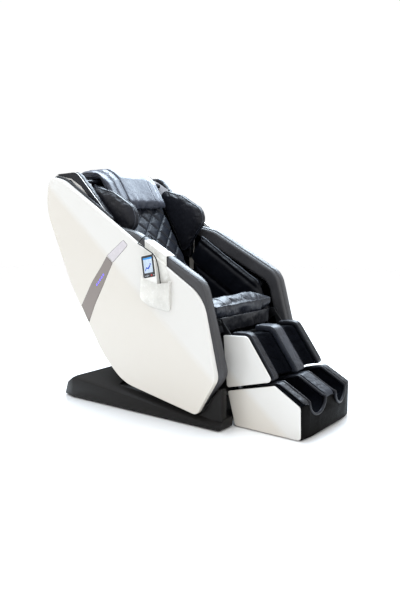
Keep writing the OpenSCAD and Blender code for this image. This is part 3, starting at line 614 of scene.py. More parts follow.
def mesh_cloth(name, colour, pitch=480):
    """Knitted spacer fabric: a tight two-way weave with slubs and a soft nap."""
    n = Nodes(name)
    turned = n.stretch((1, 1, 1), (0.62, 0, 0))
    warp = n.wave(pitch, "X", turned, 0.6)
    weft = n.wave(pitch, "Z", turned, 0.6)
    weave = n.math("MULTIPLY", warp, weft)
    slub = n.noise(150, 4, 0.6, n.stretch((1, 0.2, 1)))
    cloud = n.noise(7, 4)
    base = n.ramp(weave, (0.1, tint(colour, 0.45)), (0.75, tint(colour, 1.35)))
    base = n.mix(n.ramp(slub, (0.45, 0.0), (0.8, 0.6)), base, tint(colour, 1.9))
    base = n.mix(n.ramp(cloud, (0.35, 0.35), (0.7, 0.0)), base, tint(colour, 0.55))
    normal = n.bump(n.noise(18, 4), 0.003, 0.3)
    normal = n.bump(weave, 0.0006, 0.55, normal)
    normal = n.bump(slub, 0.0003, 0.3, normal)
    r = n.ramp(slub, (0.3, 0.74), (0.8, 0.95))
    return n.set(colour=base, rough=r, normal=normal, specular=0.06)


def metal(name, colour, rough, grain=(1, 1, 60), coated=False):
    """Drawn or painted steel: lines along its length, smudges and small pits."""
    n = Nodes(name)
    lines = n.noise(130, 4, 0.6, n.stretch(grain))
    smudge = n.noise(16, 5, 0.6)
    pits = n.cells(380, "F1")
    base = n.ramp(smudge, (0.3, tint(colour, 0.85)), (0.7, tint(colour, 1.12)))
    base = n.mix(n.ramp(lines, (0.45, 0.0), (0.8, 0.4)), base, tint(colour, 0.75))
    r = n.ramp(n.math("ADD", n.math("MULTIPLY", smudge, 0.6), n.math("MULTIPLY", lines, 0.4)),
               (0.35, rough - 0.1), (0.7, rough + 0.14))
    normal = n.bump(lines, 0.00012, 0.3)
    normal = n.bump(pits, 0.00015, 0.2 if coated else 0.08, normal)
    return n.set(colour=base, rough=r, normal=normal, metal=0.0 if coated else 1.0,
                 specular=0.15 if coated else 0.5)


def lit(name, colour, glow, base=(0.02, 0.02, 0.03)):
    """A lit plastic window whose light is uneven and fades towards dust and haze."""
    n = Nodes(name)
    cloud = n.noise(90, 3)
    haze = n.noise(900, 2)
    light = n.ramp(cloud, (0.3, tint(colour, 0.75)), (0.7, colour))
    normal = n.bump(haze, 0.00008, 0.2)
    r = n.ramp(haze, (0.3, 0.1), (0.8, 0.24))
    return n.set(colour=n.ramp(haze, (0.3, base), (0.8, tint(base, 1.6))), rough=r,
                 normal=normal, emission=light, glow=glow)


# A point of the shells' bend line (y and z in mm), and its slope in degrees.
CREASE = (248.0, 733.0, 39.2)
# The ivory is painted darker and warmer below the shells' crease: painted shade on the lower facet.
IVORY_FACET_SHADED = gloss("ivory_gloss_facet_shade", (0.665, 0.65, 0.62), 0.2, 0.3, (0.95, 0.915, 0.865), CREASE)
WHITE = gloss("white_gloss", (0.74, 0.735, 0.71), 0.24, 0.4, (1, 0.99, 0.97))
POUCH = leather("pouch_ivory", (0.70, 0.685, 0.64), 0.45, 620, 0.0003, 0.3)
# A pale pad is there, but its white is raised above the shell ivory and tinted blue: painted light,
# so it stays bright in the shade inside the tub.
PATCH_PAINTED_LIGHT = leather("patch_white_painted_light", (0.80, 0.80, 0.84), 0.4, 620, 0.0003, 0.5)
TAUPE = gloss("taupe_satin", (0.215, 0.185, 0.172), 0.34, 0.2)
SILVER = gloss("silver_satin", (0.56, 0.53, 0.55), 0.3, 0.3, (1, 0.98, 1))
BROWN = leather("leather_brown", (0.026, 0.0255, 0.0285), 0.50, specular=0.70)
BLACK = leather("leather_black", (0.0022, 0.0026, 0.0048), 0.42, specular=0.16)
GREY = leather("leather_grey", (0.017, 0.020, 0.029), 0.40, specular=0.42)
QUILT = leather("leather_quilt", (0.013, 0.016, 0.024), 0.46, specular=0.28)
PILLOW = leather("leather_pillow", (0.050, 0.056, 0.076), 0.42, specular=0.42)
CASING = leather("leather_casing", (0.0016, 0.0012, 0.0009), 0.5, specular=0.03)
CHARCOAL = leather("leather_charcoal", (0.0075, 0.0080, 0.0115), 0.40, specular=0.24)
NAVY = mesh_cloth("mesh_navy", (0.0014, 0.0020, 0.0042))
BASE = moulded("base_black", (0.0078, 0.0072, 0.0070), 0.42)
DARK = moulded("plastic_dark", (0.006, 0.006, 0.007), 0.45)
TRIM = leather("trim_grey", (0.010, 0.0115, 0.016), 0.40, specular=0.40)
LINING = mesh_cloth("lining_black", (0.0016, 0.0018, 0.0026), 700)
THREAD = moulded("thread_grey", (0.030, 0.031, 0.038), 0.6, 2400)
PAINT = metal("frame_paint", (0.006, 0.0065, 0.0075), 0.5, (1, 1, 1), coated=True)
ACTUATOR = metal("actuator_paint", (0.005, 0.0055, 0.0065), 0.45, (1, 1, 1), coated=True)
STEEL = metal("rod_steel", (0.22, 0.225, 0.24), 0.3)
RUBBER = moulded("rubber_black", (0.008, 0.008, 0.009), 0.68, 900)
ROLLER = moulded("roller_teal", (0.02, 0.08, 0.08), 0.4)
RED = gloss("switch_red", (0.45, 0.02, 0.02), 0.25, 0.3)
GLASS = gloss("remote_glass", (0.004, 0.004, 0.006), 0.14, 0.5)
GREYKEY = moulded("key_grey", (0.28, 0.29, 0.31), 0.4)
VIOLET = lit("light_violet", (0.16, 0.12, 1.0), 2.2)
DISPLAY = lit("display_pale", (0.66, 0.80, 0.95), 0.95, (0.05, 0.06, 0.08))
DISPLAY_BLUE = lit("display_blue", (0.02, 0.36, 0.92), 1.0)
DISPLAY_DEEP = lit("display_deep", (0.01, 0.07, 0.62), 1.0)


# ---- stage
def make_stage():
    floor = new_object("floor", [(-9, -9, 0), (9, -9, 0), (9, 9, 0), (-9, 9, 0)], [(0, 1, 2, 3)])
    n = Nodes("floor_pale")
    spots = n.noise(1.5, 3)
    n.set(colour=n.ramp(spots, (0.3, (0.93, 0.93, 0.93)), (0.7, (0.95, 0.95, 0.95))),
          rough=0.14, specular=0.6)
    floor.data.materials.append(n.mat)
    world = bpy.data.worlds.new("studio")
    world.use_nodes = True
    world.node_tree.nodes["Background"].inputs[0].default_value = (1, 1, 1, 1)
    world.node_tree.nodes["Background"].inputs[1].default_value = 1.02
    scene.world = world
    scene.view_settings.view_transform = "Standard"
    cool, warm = (0.74, 0.87, 1.0), (1.0, 0.975, 0.94)
    lamps = (
        ("top_soft", (0.1, 0.5, 3.3), 2.4, 110, cool),
        ("front_soft", (-1.2, -3.4, 2.6), 1.6, 24, warm),
        ("back_soft", (-2.6, 2.2, 2.6), 1.6, 12, warm),
        ("gleam_soft", (2.0, 0.8, 2.9), 2.8, 290, cool),
    )
    target = Vector((0, 0, 0.6))
    for name, at, size, watts, colour in lamps:
        data = bpy.data.lights.new(name, "AREA")
        data.size = size
        data.energy = watts
        data.color = colour
        lamp = bpy.data.objects.new(name, data)
        scene.collection.objects.link(lamp)
        lamp.location = at
        lamp.rotation_euler = (target - Vector(at)).to_track_quat("-Z", "Y").to_euler()


make_stage()


# ---- remote cord
CORD_R = 2.5
BOOT_R, BOOT_TAPER, BOOT_RIB = 4.6, 1.9, 0.35


def make_cord():
    """The lead from the near arm's inner face, over the arm, to the foot of the remote."""
    route = [
        (-284, 85, 806), (-278, 85, 806), (-272, 84, 810), (-269, 84, 818), (-270, 83, 829),
        (-276, 82, 841), (-286, 81, 850), (-298, 80, 854), (-312, 80, 854), (-326, 80, 852),
        (-340, 80, 848), (-351, 80, 842), (-359, 80, 835), (-367, 80, 829), (-374, 79, 825),
        (-381, 77, 822), (-384, 68, 818), (-383, 55, 812), (-383, 42, 806), (-383, 30, 800),
        (-383, 18, 794), (-383, 6, 788), (-383, -6, 782), (-382, -17, 774), (-381, -26, 764),
        (-379, -33, 752), (-377, -38, 734), (-376, -43, 712), (-377, -48, 690), (-379, -53, 670),
        (-380, -57, 650), (-382, -62, 628), (-384, -65, 610), (-386, -62, 597), (-387, -54, 588),
        (-387, -44, 584), (-387, -34, 586), (-387, -27, 594), (-387, -24, 605),
    ]
    path = smooth_path([Vector(p) * MM for p in route], 4)
    cord = tube("remote_lead", path, CORD_R * MM, 12)
    cord.data.materials.append(RUBBER)
    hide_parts("remote_cord")
    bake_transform(cord)
    for name, part, body in (("lead_boot", path[1:9], "chair_body"),
                             ("remote_boot", path[-2:-8:-1], "remote")):
        last = len(part) - 1
        radii = [(BOOT_R - BOOT_TAPER * (i / last) ** 0.7 + (BOOT_RIB if i % 2 else 0)) * MM
                 for i in range(len(part))]
        boot = tube(name, part, radii, 14)
        finish_piece(boot, body, RUBBER, "rubber_black")


make_cord()


# ---- side shells
HALF_W, SHELL_IN, CREASE_SOFT = 385.0, 352.0, 5.0
UPPER_LEAN, LOWER_LEAN = 6.3, 3.5
SHELL = [
    [-284, 593, 190], [-368, 240, 70], [-257, 60, 35], [215, 134, 250], [352, 255, 500],
    [562, 578, 1000], [738, 985, 250], [695, 1152, 30], [602, 1129, 200],
]


def shell_face(y, z):
    """x of the shell's outer face in mm: two planes that meet at a slightly rounded crease."""
    s = math.radians(CREASE[2])
    d = -(y - CREASE[0]) * math.sin(s) + (z - CREASE[1]) * math.cos(s)
    up, low = math.tan(math.radians(UPPER_LEAN)), math.tan(math.radians(LOWER_LEAN))
    drop = ((up - low) * d + (up + low) * np.sqrt(d * d + CREASE_SOFT ** 2)) / 2
    return HALF_W - drop


STRIP = [
    [282, 752, 0], [243, 724, 0], [320, 608, 400], [387, 511, 300], [441, 415, 0], [492, 494, 0],
    [404, 617, 500], [327, 699, 200],
]
INSERT = [[181, 834, 8], [152, 810, 8], [239, 727, 0], [279, 757, 0]]
TUB_LINING = [
    [330, 462, 4], [470, 462, 20], [500, 600, 60], [600, 800, 200], [700, 1040, 60],
    [640, 1075, 30], [520, 1010, 30], [345, 815, 30],
]
TUB_HOOD = [
    [714, 1164, 4], [541, 1169, 58], [300, 937, 6], [318, 930, 6], [446, 1040, 6], [510, 1098, 30],
    [582, 1138, 10],
]
TUB_FLANK = [
    [716, 1134, 8], [582, 1132, 8], [526, 1080, 30], [446, 1038, 6], [332, 912, 10], [400, 880, 20],
    [700, 1000, 20],
]
TUB_PATCH = [[622, 1154, 8], [577, 1158, 8], [468, 1102, 8], [520, 1040, 14], [575, 1085, 20]]


TUB_X = ((337.0, 334.4), (298.4, 296.0))  # outer and inner face of a tub pad, in mm


def make_shells():
    """The side shells with their strips and linings, and the pads on the tub's sides."""
    for side, word in SIDES:
        shell = panel("shell_" + word, SHELL, shell_face, SHELL_IN + 0.3, 6, 16, side=side)
        finish_piece(shell, "chair_body", IVORY_FACET_SHADED, "shell_ivory", "side_shell_" + word)
        for name, outline, material, slot, node in (
            ("strip_" + word, STRIP, TAUPE, "strip_taupe", "shell_strip_" + word),
            ("insert_" + word, INSERT, SILVER, "insert_silver", None),
        ):
            top = panel(name, inset(outline, 0.6), lambda y, z: shell_face(y, z) + 1.2,
                        SHELL_IN + 12, 0.8, 10, side=side)
            finish_piece(top, "chair_body", material, slot, *([node] if node else []))
            # A flat dark ring just proud of the shell round each strip and insert: painted shade
            # for the gap between them and the shell.
            gap_shade_ring = panel(name + "_gap", inset(outline, -0.9),
                           lambda y, z: shell_face(y, z) + 0.35, SHELL_IN + 12, 0.3, 10, side=side)
            finish_piece(gap_shade_ring, "chair_body", DARK, "strip_taupe")
            if name.startswith("insert"):
                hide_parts("strip_inserts")
        lining = panel("shell_lining_" + word, inset(SHELL, 15), 351.8, 349.6, 1.0, 24, side=side)
        finish_piece(lining, "chair_body", LINING, "fabric_dark")
        inner = panel("tub_lining_" + word, TUB_LINING, 330.8, 329.2, 0.8, 24, side=side)
        finish_piece(inner, "backrest", LINING, "fabric_dark")
        for name, outline, high, low, material in (
            ("tub_hood", TUB_HOOD, *TUB_X[0], CHARCOAL),
            ("tub_flank", TUB_FLANK, *TUB_X[0], TRIM),
            # the patch: a pale pad whose colour carries painted light
            ("tub_patch", TUB_PATCH, *TUB_X[1], PATCH_PAINTED_LIGHT),
        ):
            pad = panel(f"{name}_{word}", outline, high, low, 1.2, 16, side=side)
            finish_piece(pad, "backrest", material, "leather_grey")


make_shells()


def make_lights():
    """The strips' small lights stay as the CAD's own bars, and only get their material."""
    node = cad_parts["strip_lights"]
    node.data.materials.clear()
    node.data.materials.append(VIOLET)


make_lights()


# ---- rigid parts
def make_rigid():
    for node, body, material, slot, bevel in (
        ("base_cover", "base", BASE, "base_plastic", 2.0),
        ("base_frame", "base", PAINT, "frame_paint", 1.0),
        ("base_feet", "base", RUBBER, "rubber_black", 1.5),
        ("control_box", "base", PAINT, "frame_paint", 1.0),
        ("power_inlet", "base", DARK, "dark_plastic", 0.6),
        ("power_switch", "rocker", RED, "switch_red", 0.5),
        ("transport_wheels", "wheels", DARK, "dark_plastic", 1.0),
        *(row for drive in ("tilt", "recline", "leg") for row in (
            (drive + "_actuator_tube", drive + "_tube", ACTUATOR, "actuator_paint", 1.0),
            (drive + "_actuator_rod", drive + "_rod", STEEL, "rod_steel", 0.5))),
        ("seat_frame", "chair_body", PAINT, "frame_paint", 0.8),
        ("arm_frames", "chair_body", PAINT, "frame_paint", 1.2),
        ("air_pump", "chair_body", DARK, "dark_plastic", 2.0),
        ("lower_rear_cover", "chair_body", BASE, "base_plastic", 1.0),
        ("cord_grommet", "chair_body", RUBBER, "rubber_black", 0.8),
        ("back_frame", "backrest", PAINT, "frame_paint", 0.8),
        ("rear_cover", "backrest", IVORY_FACET_SHADED, "shell_ivory", 1.5),
        ("massage_carriage", "carriage", STEEL, "frame_paint", 1.0),
        ("kneading_shaft", "kneading", ROLLER, "roller_plastic", 1.0),
        ("calf_frame", "leg_rest", PAINT, "frame_paint", 0.6),
        ("foot_casing", "foot_unit", CASING, "base_plastic", 5.0),
        ("foot_slide_rods", "foot_unit", STEEL, "rod_steel", 0.5),
        ("foot_rollers", "sole_rollers", ROLLER, "roller_plastic", 1.0),
        ("remote_body", "remote", WHITE, "remote_white", 0.8),
        ("remote_screen", "remote", GLASS, "remote_glass", 0.5),
        ("button_power", "power_button", RED, "button_red", 0.5),
        ("button_mode", "mode_button", GREYKEY, "button_grey", 0.5),
    ):
        hard(node, body, material, slot, bevel)


make_rigid()

CALF = [[-309, 413, 8], [-436, 421, 28], [-568, 236, 16], [-330, 173, 12]]
FOOT = [[-334, 158, 8], [-578, 221, 18], [-704, 147, 16], [-708, 4, 14], [-376, 4, 14]]


LEG_PANEL_X = (240, 232.5)


def make_leg_panels():
    for side, word in SIDES:
        for name, outline, body in (("calf", CALF, "leg_rest"), ("foot", FOOT, "foot_unit")):
            p = panel(f"{name}_side_{word}", outline, *LEG_PANEL_X, 3, 14, 4, side)
            finish_piece(p, body, IVORY_FACET_SHADED, "shell_ivory", f"{name}_panel_{word}")


make_leg_panels()


# ---- upholstery
def soft(node, name, voxel, relaxing, shrink=0.0):
    """A CAD cushion as one even mesh with soft edges, drawn in by shrink to leave room to swell."""
    obj = copy_of(node, name=name)
    remesh(obj, voxel)
    relax(obj, relaxing)
    if shrink:
        push(obj, lambda co, no: np.full(len(co), -shrink))
    return obj


ARM = [
    [262, 896, 10], [130, 870, 150], [-275, 657, 110], [-385, 255, 60], [-262, 92, 20],
    [-216, 127, 12], [-303, 258, 50], [-212, 600, 90], [283, 850, 0],
]
ARM_END = (-262, 92)
ARM_SEAM, ARM_CROWN = 0.300, 0.322  # the band's seam and the middle of its roll, across
ARM_CUSHION = [[205, 856, 14], [-186, 614, 40], [-268, 438, 16], [150, 438, 14], [285, 720, 40]]


def band_top(corners, last, x, step=5.0):
    """The outer run of the arm band's outline at x, as an open path."""
    loop = list(rounded(corners, step))
    stop = min(range(len(loop)), key=lambda i: np.hypot(*(loop[i] - np.array(last))))
    return [(x * MM, y * MM, z * MM) for y, z in loop[:stop + 1]]


def creases(co, size, amount, seed, stretch=(1, 1, 1)):
    """Leather creases: sharp valleys between soft swells."""
    k = np.abs(fbm(co * np.array(stretch), size, seed, 3))
    return amount * (np.minimum(k, 0.35) / 0.35 - 0.7)


def make_arms():
    for side, word in SIDES:
        arm = soft("arm_pad_" + word, "arm_roll_" + word, 0.005, 8)

        def shape(co, no, side=side):
            x = co[:, 0] * side
            d = groove(x - ARM_SEAM, 0.0030, 0.0035)
            d += 0.0030 * np.clip(1 - ((x - ARM_CROWN) / 0.022) ** 2, 0, 1)
            return d + 0.0009 * fbm(co * np.array([1, 0.4, 0.4]), 0.07, 1 + side)

        push(arm, shape)
        subdivide(arm)
        finish_piece(arm, "chair_body", BROWN, "leather_brown", "arm_pad_" + word, padded=0.7)
        for x, name in ((304, "inner"), (345, "outer")):
            run = band_top(ARM, ARM_END, x * side)
            welt(f"arm_piping_{name}_{word}", arm, run, 0.0016, "chair_body", BROWN,
                 "leather_brown", closed=False)
        run = band_top(ARM, ARM_END, 309 * side, 2.0)
        stitches("arm_stitches_" + word, arm, run, "chair_body", THREAD, "leather_brown")

        cushion = soft("arm_cushion_" + word, "arm_inner_" + word, 0.005, 5, 0.002)
        puff(cushion, 16, 0.010)

        def folds(co, no, side=side):
            run = co[:, 1] * 0.85 + co[:, 2] * 0.53
            fade = np.clip((co[:, 2] - 0.43) / 0.1, 0, 1)
            wave = np.sin(run * 2 * math.pi / 0.16 + 3 * fbm(co, 0.12, 4)) * fade
            below = (co[:, 1] - 0.205) * 0.526 - (co[:, 2] - 0.856) * 0.85
            face = np.clip(-no[:, 0] * side, 0, 1)
            d = groove(below - 0.040, 0.010, 0.006) + groove(below - 0.165, 0.012, 0.008)
            d += 0.004 * np.clip(1 - ((below - 0.10) / 0.06) ** 2, 0, 1)
            return d * face + 0.0014 * wave + creases(co, 0.09, 0.0012, 5, (1, 0.5, 1))

        push(cushion, folds)
        subdivide(cushion)
        finish_piece(cushion, "chair_body", BLACK, "leather_black", "arm_cushion_" + word,
                     padded=0.6)
        run = band_top(inset(ARM_CUSHION, 6), (-196, 600), 259 * side)
        welt("arm_inner_piping_" + word, cushion, run, 0.0042, "chair_body", GREY,
             "leather_black", closed=False)

        trim = soft("rim_trim_" + word, "rim_roll_" + word, 0.004, 5)
        finish_piece(trim, "chair_body", TRIM, "trim_plastic", "rim_trim_" + word)


make_arms()


SEAT_SEAM_X, SEAT_SEAM_Y, SEAT_NOSE_Y = 0.165, -0.16, -0.22
SEAT_EDGE = ((-0.286, 0.545), (-0.21, 0.55), (-0.06, 0.497), (0.1, 0.475))  # y and z, in metres


def make_seat():
    seat = soft("seat_cushion", "seat_pad", 0.006, 16, 0.006)
    puff(seat, 20, 0.022)
    subdivide(seat)

    def shape(co, no):
        x, y = np.abs(co[:, 0]), co[:, 1]
        d = groove(x - SEAT_SEAM_X, 0.004, 0.005)
        d += groove(y - SEAT_SEAM_Y, 0.004, 0.004)
        nose = np.exp(-(((y - SEAT_NOSE_Y) / 0.09) ** 2))
        d += nose * 0.0018 * np.sin(co[:, 0] * 60 + 5 * fbm(co, 0.12, 2))
        return d + 0.0042 * fbm(co * np.array([0.8, 1.3, 1]), 0.11, 3, 2)

    push(seat, shape)
    finish_piece(seat, "chair_body", GREY, "leather_grey", "seat_cushion", padded=0.7)
    for side, word in SIDES:
        run = resample([(0.246 * side, y, z) for y, z in SEAT_EDGE])
        welt("seat_piping_" + word, seat, run, 0.0025, "chair_body", GREY, "leather_grey", False)
    run = resample([(-0.235, -0.288, 0.546), (0.235, -0.288, 0.546)])
    welt("seat_piping_front", seat, run, 0.0028, "chair_body", GREY, "leather_grey", False)

    flap = soft("leg_flap", "leg_apron", 0.004, 4)
    subdivide(flap)

    def pleats(co, no):
        fold = np.sin(co[:, 0] * 30 + 2.5 * fbm(co, 0.14, 9)) + 0.5 * np.sin(co[:, 0] * 74 + 2)
        hang = np.clip((0.48 - co[:, 2]) / 0.06, 0, 1)
        return 0.0036 * fold * (0.2 + 0.8 * hang) + creases(co, 0.11, 0.0020, 12)

    push(flap, pleats)
    finish_piece(flap, "chair_body", TRIM, "leather_charcoal", "leg_flap", padded=0.3)


make_seat()

LEAN = math.radians(30)
BACK_Y, BACK_Z = 0.130, 0.440  # the foot of the back cushion's front face
QUILT_PITCH, QUILT_HALF = 0.098, 0.212


def back_point(x, up, depth):
    """The place that is this far across, up and into the leaning back."""
    return (x, BACK_Y + up * math.sin(LEAN) + depth * math.cos(LEAN),
            BACK_Z + up * math.cos(LEAN) - depth * math.sin(LEAN))


WING = [
    [330, 742, 25], [406, 872, 60], [490, 1022, 60], [506, 1094, 45], [444, 1098, 60],
    [334, 1075, 120], [202, 1000, 90], [170, 925, 70], [239, 832, 120], [292, 768, 60],
]
WING_X, WING_PIPING = 267, 14


def make_back():
    back = soft("back_cushion", "back_pad", 0.006, 6, 0.005)
    puff(back, 20, 0.018)
    subdivide(back)

    def quilt(co, no):
        x = co[:, 0]
        up = (co[:, 2] - BACK_Z) * math.cos(LEAN) + (co[:, 1] - BACK_Y) * math.sin(LEAN)
        a, b = (x + up) / QUILT_PITCH, (x - up) / QUILT_PITCH
        dist = np.minimum(np.abs(a - np.round(a)), np.abs(b - np.round(b))) * QUILT_PITCH * 0.707
        front = np.clip(-(no[:, 1] * math.cos(LEAN) - no[:, 2] * math.sin(LEAN)), 0, 1)
        inside = np.clip((QUILT_HALF - np.abs(x)) / 0.004, 0, 1)
        d = (groove(dist, 0.0060, 0.0060) + 0.08 * np.minimum(dist, 0.03)) * front * inside
        d += groove(np.abs(x) - QUILT_HALF - 0.002, 0.0045, 0.007) * front
        return d + 0.0006 * fbm(co, 0.05, 6)

    push(back, quilt)
    finish_piece(back, "backrest", QUILT, "leather_grey", "back_cushion", padded=0.6)
    for side, word in SIDES:
        run = resample([back_point(0.240 * side, up, 0.004) for up in (0.03, 0.785)])
        welt("back_piping_" + word, back, run, 0.0026, "backrest", CHARCOAL, "leather_grey", False)

    hood = soft("head_surround", "head_hood", 0.005, 5)
    push(hood, lambda co, no: creases(co, 0.05, 0.0020, 8))
    subdivide(hood)
    finish_piece(hood, "backrest", CHARCOAL, "dark_plastic", "head_surround", padded=0.5)
    wing_loop = rounded(WING)

    def shape(co, no):
        face = np.clip(np.abs(no[:, 0]), 0, 1) ** 2
        d, _ = outline_distance(co[:, 1:] * 1000, wing_loop)
        return 0.004 * face * np.clip(d / 60, 0, 1) + creases(co, 0.07, 0.0012, 10)

    for side, word in SIDES:
        wing = soft("shoulder_wing_" + word, "wing_" + word, 0.005, 8, 0.002)
        puff(wing, 16, 0.008)
        subdivide(wing)
        push(wing, shape)
        finish_piece(wing, "backrest", CHARCOAL, "leather_charcoal", "shoulder_wing_" + word,
                     padded=0.7)
        for x in (-WING_PIPING, WING_PIPING):
            loop = side_loop(inset(WING, 3), (WING_X + x) * side)
            welt(f"wing_piping_{word}_{'outer' if x > 0 else 'inner'}", wing, loop, 0.0024,
                 "backrest", GREY, "leather_charcoal")


make_back()


PILLOW_SIDE = [
    [722, 1141, 0], [738, 1150, 5], [732, 1168, 8], [650, 1190, 60], [505, 1190, 80],
    [392, 1010, 40], [398, 968, 10], [428, 978, 12], [503, 1106, 20], [528, 1141, 12],
]


PILLOW_END = (398, 968)
PILLOW_SEAM, PILLOW_STITCH, PILLOW_PIPING = 104, 110, 203  # across, in mm
PILLOW_FAN_Z = 1.075  # below this height the pillow's face is gathered


def make_pillow():
    pillow = soft("head_pillow", "pillow_pad", 0.005, 6, 0.003)
    puff(pillow, 20, 0.014)
    subdivide(pillow)

    def shape(co, no):
        x = np.abs(co[:, 0])
        d = groove(x - PILLOW_SEAM * MM, 0.0032, 0.0055)
        low = np.clip((PILLOW_FAN_Z - co[:, 2]) / 0.10, 0, 1)
        fan = np.sin(co[:, 0] / 0.0120 * (1 + 0.4 * low) + 2.5 * fbm(co, 0.07, 12))
        d += 0.0026 * fan * low * (x < PILLOW_SEAM * MM)
        return d + 0.0040 * fbm(co * np.array([1, 0.6, 0.6]), 0.13, 11, 2) * (1 - 0.5 * low)

    push(pillow, shape)
    finish_piece(pillow, "pillow", PILLOW, "leather_grey", "head_pillow", padded=0.6)
    for side, word in SIDES:
        loop = side_loop(inset(PILLOW_SIDE, 12), PILLOW_PIPING * side)
        welt("pillow_piping_" + word, pillow, loop, 0.0024, "pillow", GREY, "leather_grey")
        run = band_top(PILLOW_SIDE, PILLOW_END, PILLOW_STITCH * side, 2.0)
        stitches("pillow_stitches_" + word, pillow, run, "pillow", THREAD, "leather_grey")


make_pillow()

CHANNEL_X, CHANNEL_R = 112, 64
FRONT_Y, FRONT_R = -731, 1210
FOOT_BACK, FOOT_RIDGE, FOOT_NOSE = (-338, 162), (-592, 229), (-718, 160)  # of the top: y and z
WELL_Z, WELL_Y = 160, -470  # the mouth's height in front, and the heel arc's centre


def front_y(x):
    """y of the foot unit's bowed front at x, in mm."""
    return FRONT_Y + FRONT_R - math.sqrt(FRONT_R ** 2 - x * x)


def foot_top(y):
    """z of the foot unit's sloping top at y, in mm."""
    (y0, z0), (y1, z1) = (FOOT_RIDGE, FOOT_NOSE) if y < FOOT_RIDGE[0] else (FOOT_BACK, FOOT_RIDGE)
    return z0 + (z1 - z0) * (y0 - y) / (y0 - y1)


def well_rim(side):
    """A closed path round the mouth of a foot well: up the slope, round the heel, and in front."""
    pts = []
    for k in range(17):
        w = math.pi * k / 16
        x = CHANNEL_X - CHANNEL_R * math.cos(w)
        pts.append((x, front_y(x) + 3, WELL_Z - CHANNEL_R * math.sin(w)))
    for y in range(-700, WELL_Y, 12):
        pts.append((CHANNEL_X + CHANNEL_R, y, foot_top(y)))
    for k in range(17):
        w = math.pi * k / 16
        y = WELL_Y + CHANNEL_R * math.sin(w)
        pts.append((CHANNEL_X + CHANNEL_R * math.cos(w), y, foot_top(y)))
    for y in range(WELL_Y - 12, -712, -12):
        pts.append((CHANNEL_X - CHANNEL_R, y, foot_top(y)))
    return [(x * side * MM, y * MM, z * MM) for x, y, z in pts]


# Where the calf rolls are piped: across, and how far outside the side panel's outline, in mm.
CALF_PIPING = {"calf_rolls": ((222, 11), (189, 11)), "calf_roll_middle": ((33, 19),)}


def make_leg_pads():
    for node, name, material, slot, relaxing in (
        ("calf_pad", "calf_lining", NAVY, "fabric_dark", 5),
        ("calf_bolsters", "calf_rolls", CHARCOAL, "leather_charcoal", 10),
        ("calf_bolsters", "calf_roll_middle", GREY, "leather_grey", 26),
        ("foot_pad", "foot_lining", NAVY, "fabric_dark", 5),
        ("foot_bolsters", "foot_rolls", CHARCOAL, "leather_charcoal", 6),
        ("foot_bolsters", "foot_roll_middle", QUILT, "leather_grey", 4),
    ):
        body = "leg_rest" if name.startswith("calf") else "foot_unit"
        pad = soft(node, name, 0.005 if material is NAVY else 0.004, relaxing)
        if "roll" in name:
            keep(pad, lambda x, middle="middle" in name: (abs(x) < 0.1) == middle)
        if material is NAVY:
            push(pad, lambda co, no: creases(co, 0.05, 0.0034, 13, (1, 0.7, 1)))
        else:
            push(pad, lambda co, no: creases(co, 0.05, 0.0014, 14))
        subdivide(pad)
        nodes = [] if "middle" in name else [node]
        finish_piece(pad, body, material, slot, *nodes, padded=0.6)
        if name == "foot_lining":
            for side, word in SIDES:
                rim = tube("foot_rim_" + word, well_rim(side), 0.0065, 14, True)
                finish_piece(rim, "foot_unit", CHARCOAL, "leather_charcoal")
        for x, rise in CALF_PIPING.get(name, ()):
            for side, word in SIDES:
                loop = side_loop(inset(CALF, -rise), x * side)
                run = [p for p in loop if p[1] < -0.36 and p[2] - 0.236 > -0.4 * (p[1] + 0.57)]
                welt(f"calf_piping_{x}_{word}", pad, run, 0.0020, "leg_rest", GREY,
                     "leather_charcoal", False)


make_leg_pads()


# ---- remote and its pouch
def facet_matrix():
    """Places what is drawn with x out of the right shell's upper facet, in mm."""
    y, z, slope = CREASE[0], CREASE[1], math.radians(CREASE[2])
    lean = math.radians(UPPER_LEAN)
    return (Matrix.Scale(-1, 4, (1, 0, 0)) @ Matrix.Translation((HALF_W, y, z))
            @ Matrix.Rotation(slope, 4, "X") @ Matrix.Rotation(-lean, 4, "Y")
            @ Matrix.Rotation(-slope, 4, "X") @ Matrix.Translation((0, -y, -z)))


REMOTE_AT, REMOTE_TURN = (2.6, 6, 688), math.radians(-12)
REMOTE = facet_matrix() @ Matrix.Translation(REMOTE_AT) @ Matrix.Rotation(REMOTE_TURN, 4, "X")


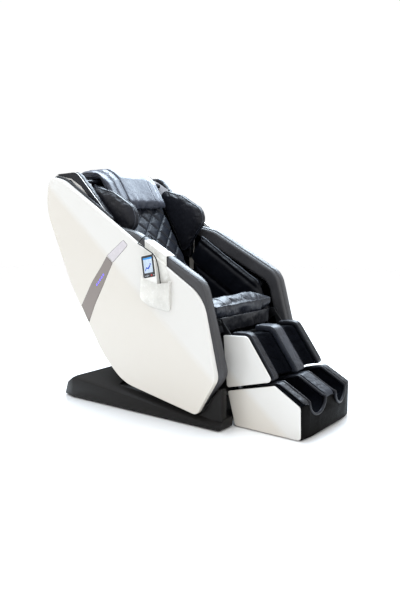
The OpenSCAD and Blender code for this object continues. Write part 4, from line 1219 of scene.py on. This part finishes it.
def plate(name, corners, low, high, material, slot, edge=0.15):
    """A thin window on the remote's face, drawn in its own plane in mm."""
    obj = panel(name, corners, high, low, edge, 6, step=1.2)
    obj.data.transform(Matrix.Scale(MM, 4) @ REMOTE @ Matrix.Scale(1000, 4))
    obj.data.flip_normals()
    return finish_piece(obj, "remote", material, slot)


def bar(a, b, r):
    """A round-ended bar from a to b, as an outline's corners, anticlockwise."""
    a, b = np.array(a, float), np.array(b, float)
    u = unit(b - a)
    n = np.array([-u[1], u[0]])
    return [[*(a - u * r - n * r), r * 0.9], [*(b + u * r - n * r), r * 0.9],
            [*(b + u * r + n * r), r * 0.9], [*(a - u * r + n * r), r * 0.9]]


def make_remote():
    """The remote's lit picture, a plain figure lying back under a bar, and its keys."""
    for name, z, r, low, high, material in (("display", 0, 2, 12.0, 12.45, DISPLAY),
                                            ("display_bar", 62, 1, 12.3, 12.55, DISPLAY_BLUE)):
        window = [[-25, z, r], [25, z, r], [25, 70, r], [-25, 70, r]]
        plate(name, window, low, high, material, "remote_glass")
    figure = {"head": ((-14, 38), (-13.5, 38.5), 3.6), "back": ((-10, 31), (0, 20), 3.4),
              "thigh": ((0, 19), (10, 24), 3.0), "shin": ((11, 23), (18, 12), 2.4)}
    for part, (a, b, r) in figure.items():
        plate("display_" + part, bar(a, b, r), 12.3, 12.6, DISPLAY_DEEP, "remote_glass", 0.1)
    for k, y in enumerate((22, 4, -27)):
        plate(f"key_{k}", bar((y - 2, -13), (y + 2, -13), 2.0), 12.0, 12.7, GREYKEY, "button_grey")


def make_pouch():
    pouch = copy_of("remote_holder", name="remote_pouch")
    remesh(pouch, 0.0016)
    relax(pouch, 3)

    def shape(co, no):
        low = np.clip((0.66 - co[:, 2]) / 0.06, 0, 1) * np.clip(-no[:, 0], 0, 1)
        return low * creases(co, 0.035, 0.0012, 21, (1, 1.4, 0.6)) + 0.0002 * fbm(co, 0.012, 22)

    push(pouch, shape)
    finish_piece(pouch, "chair_body", POUCH, "remote_white", "remote_holder")


make_remote()
make_pouch()
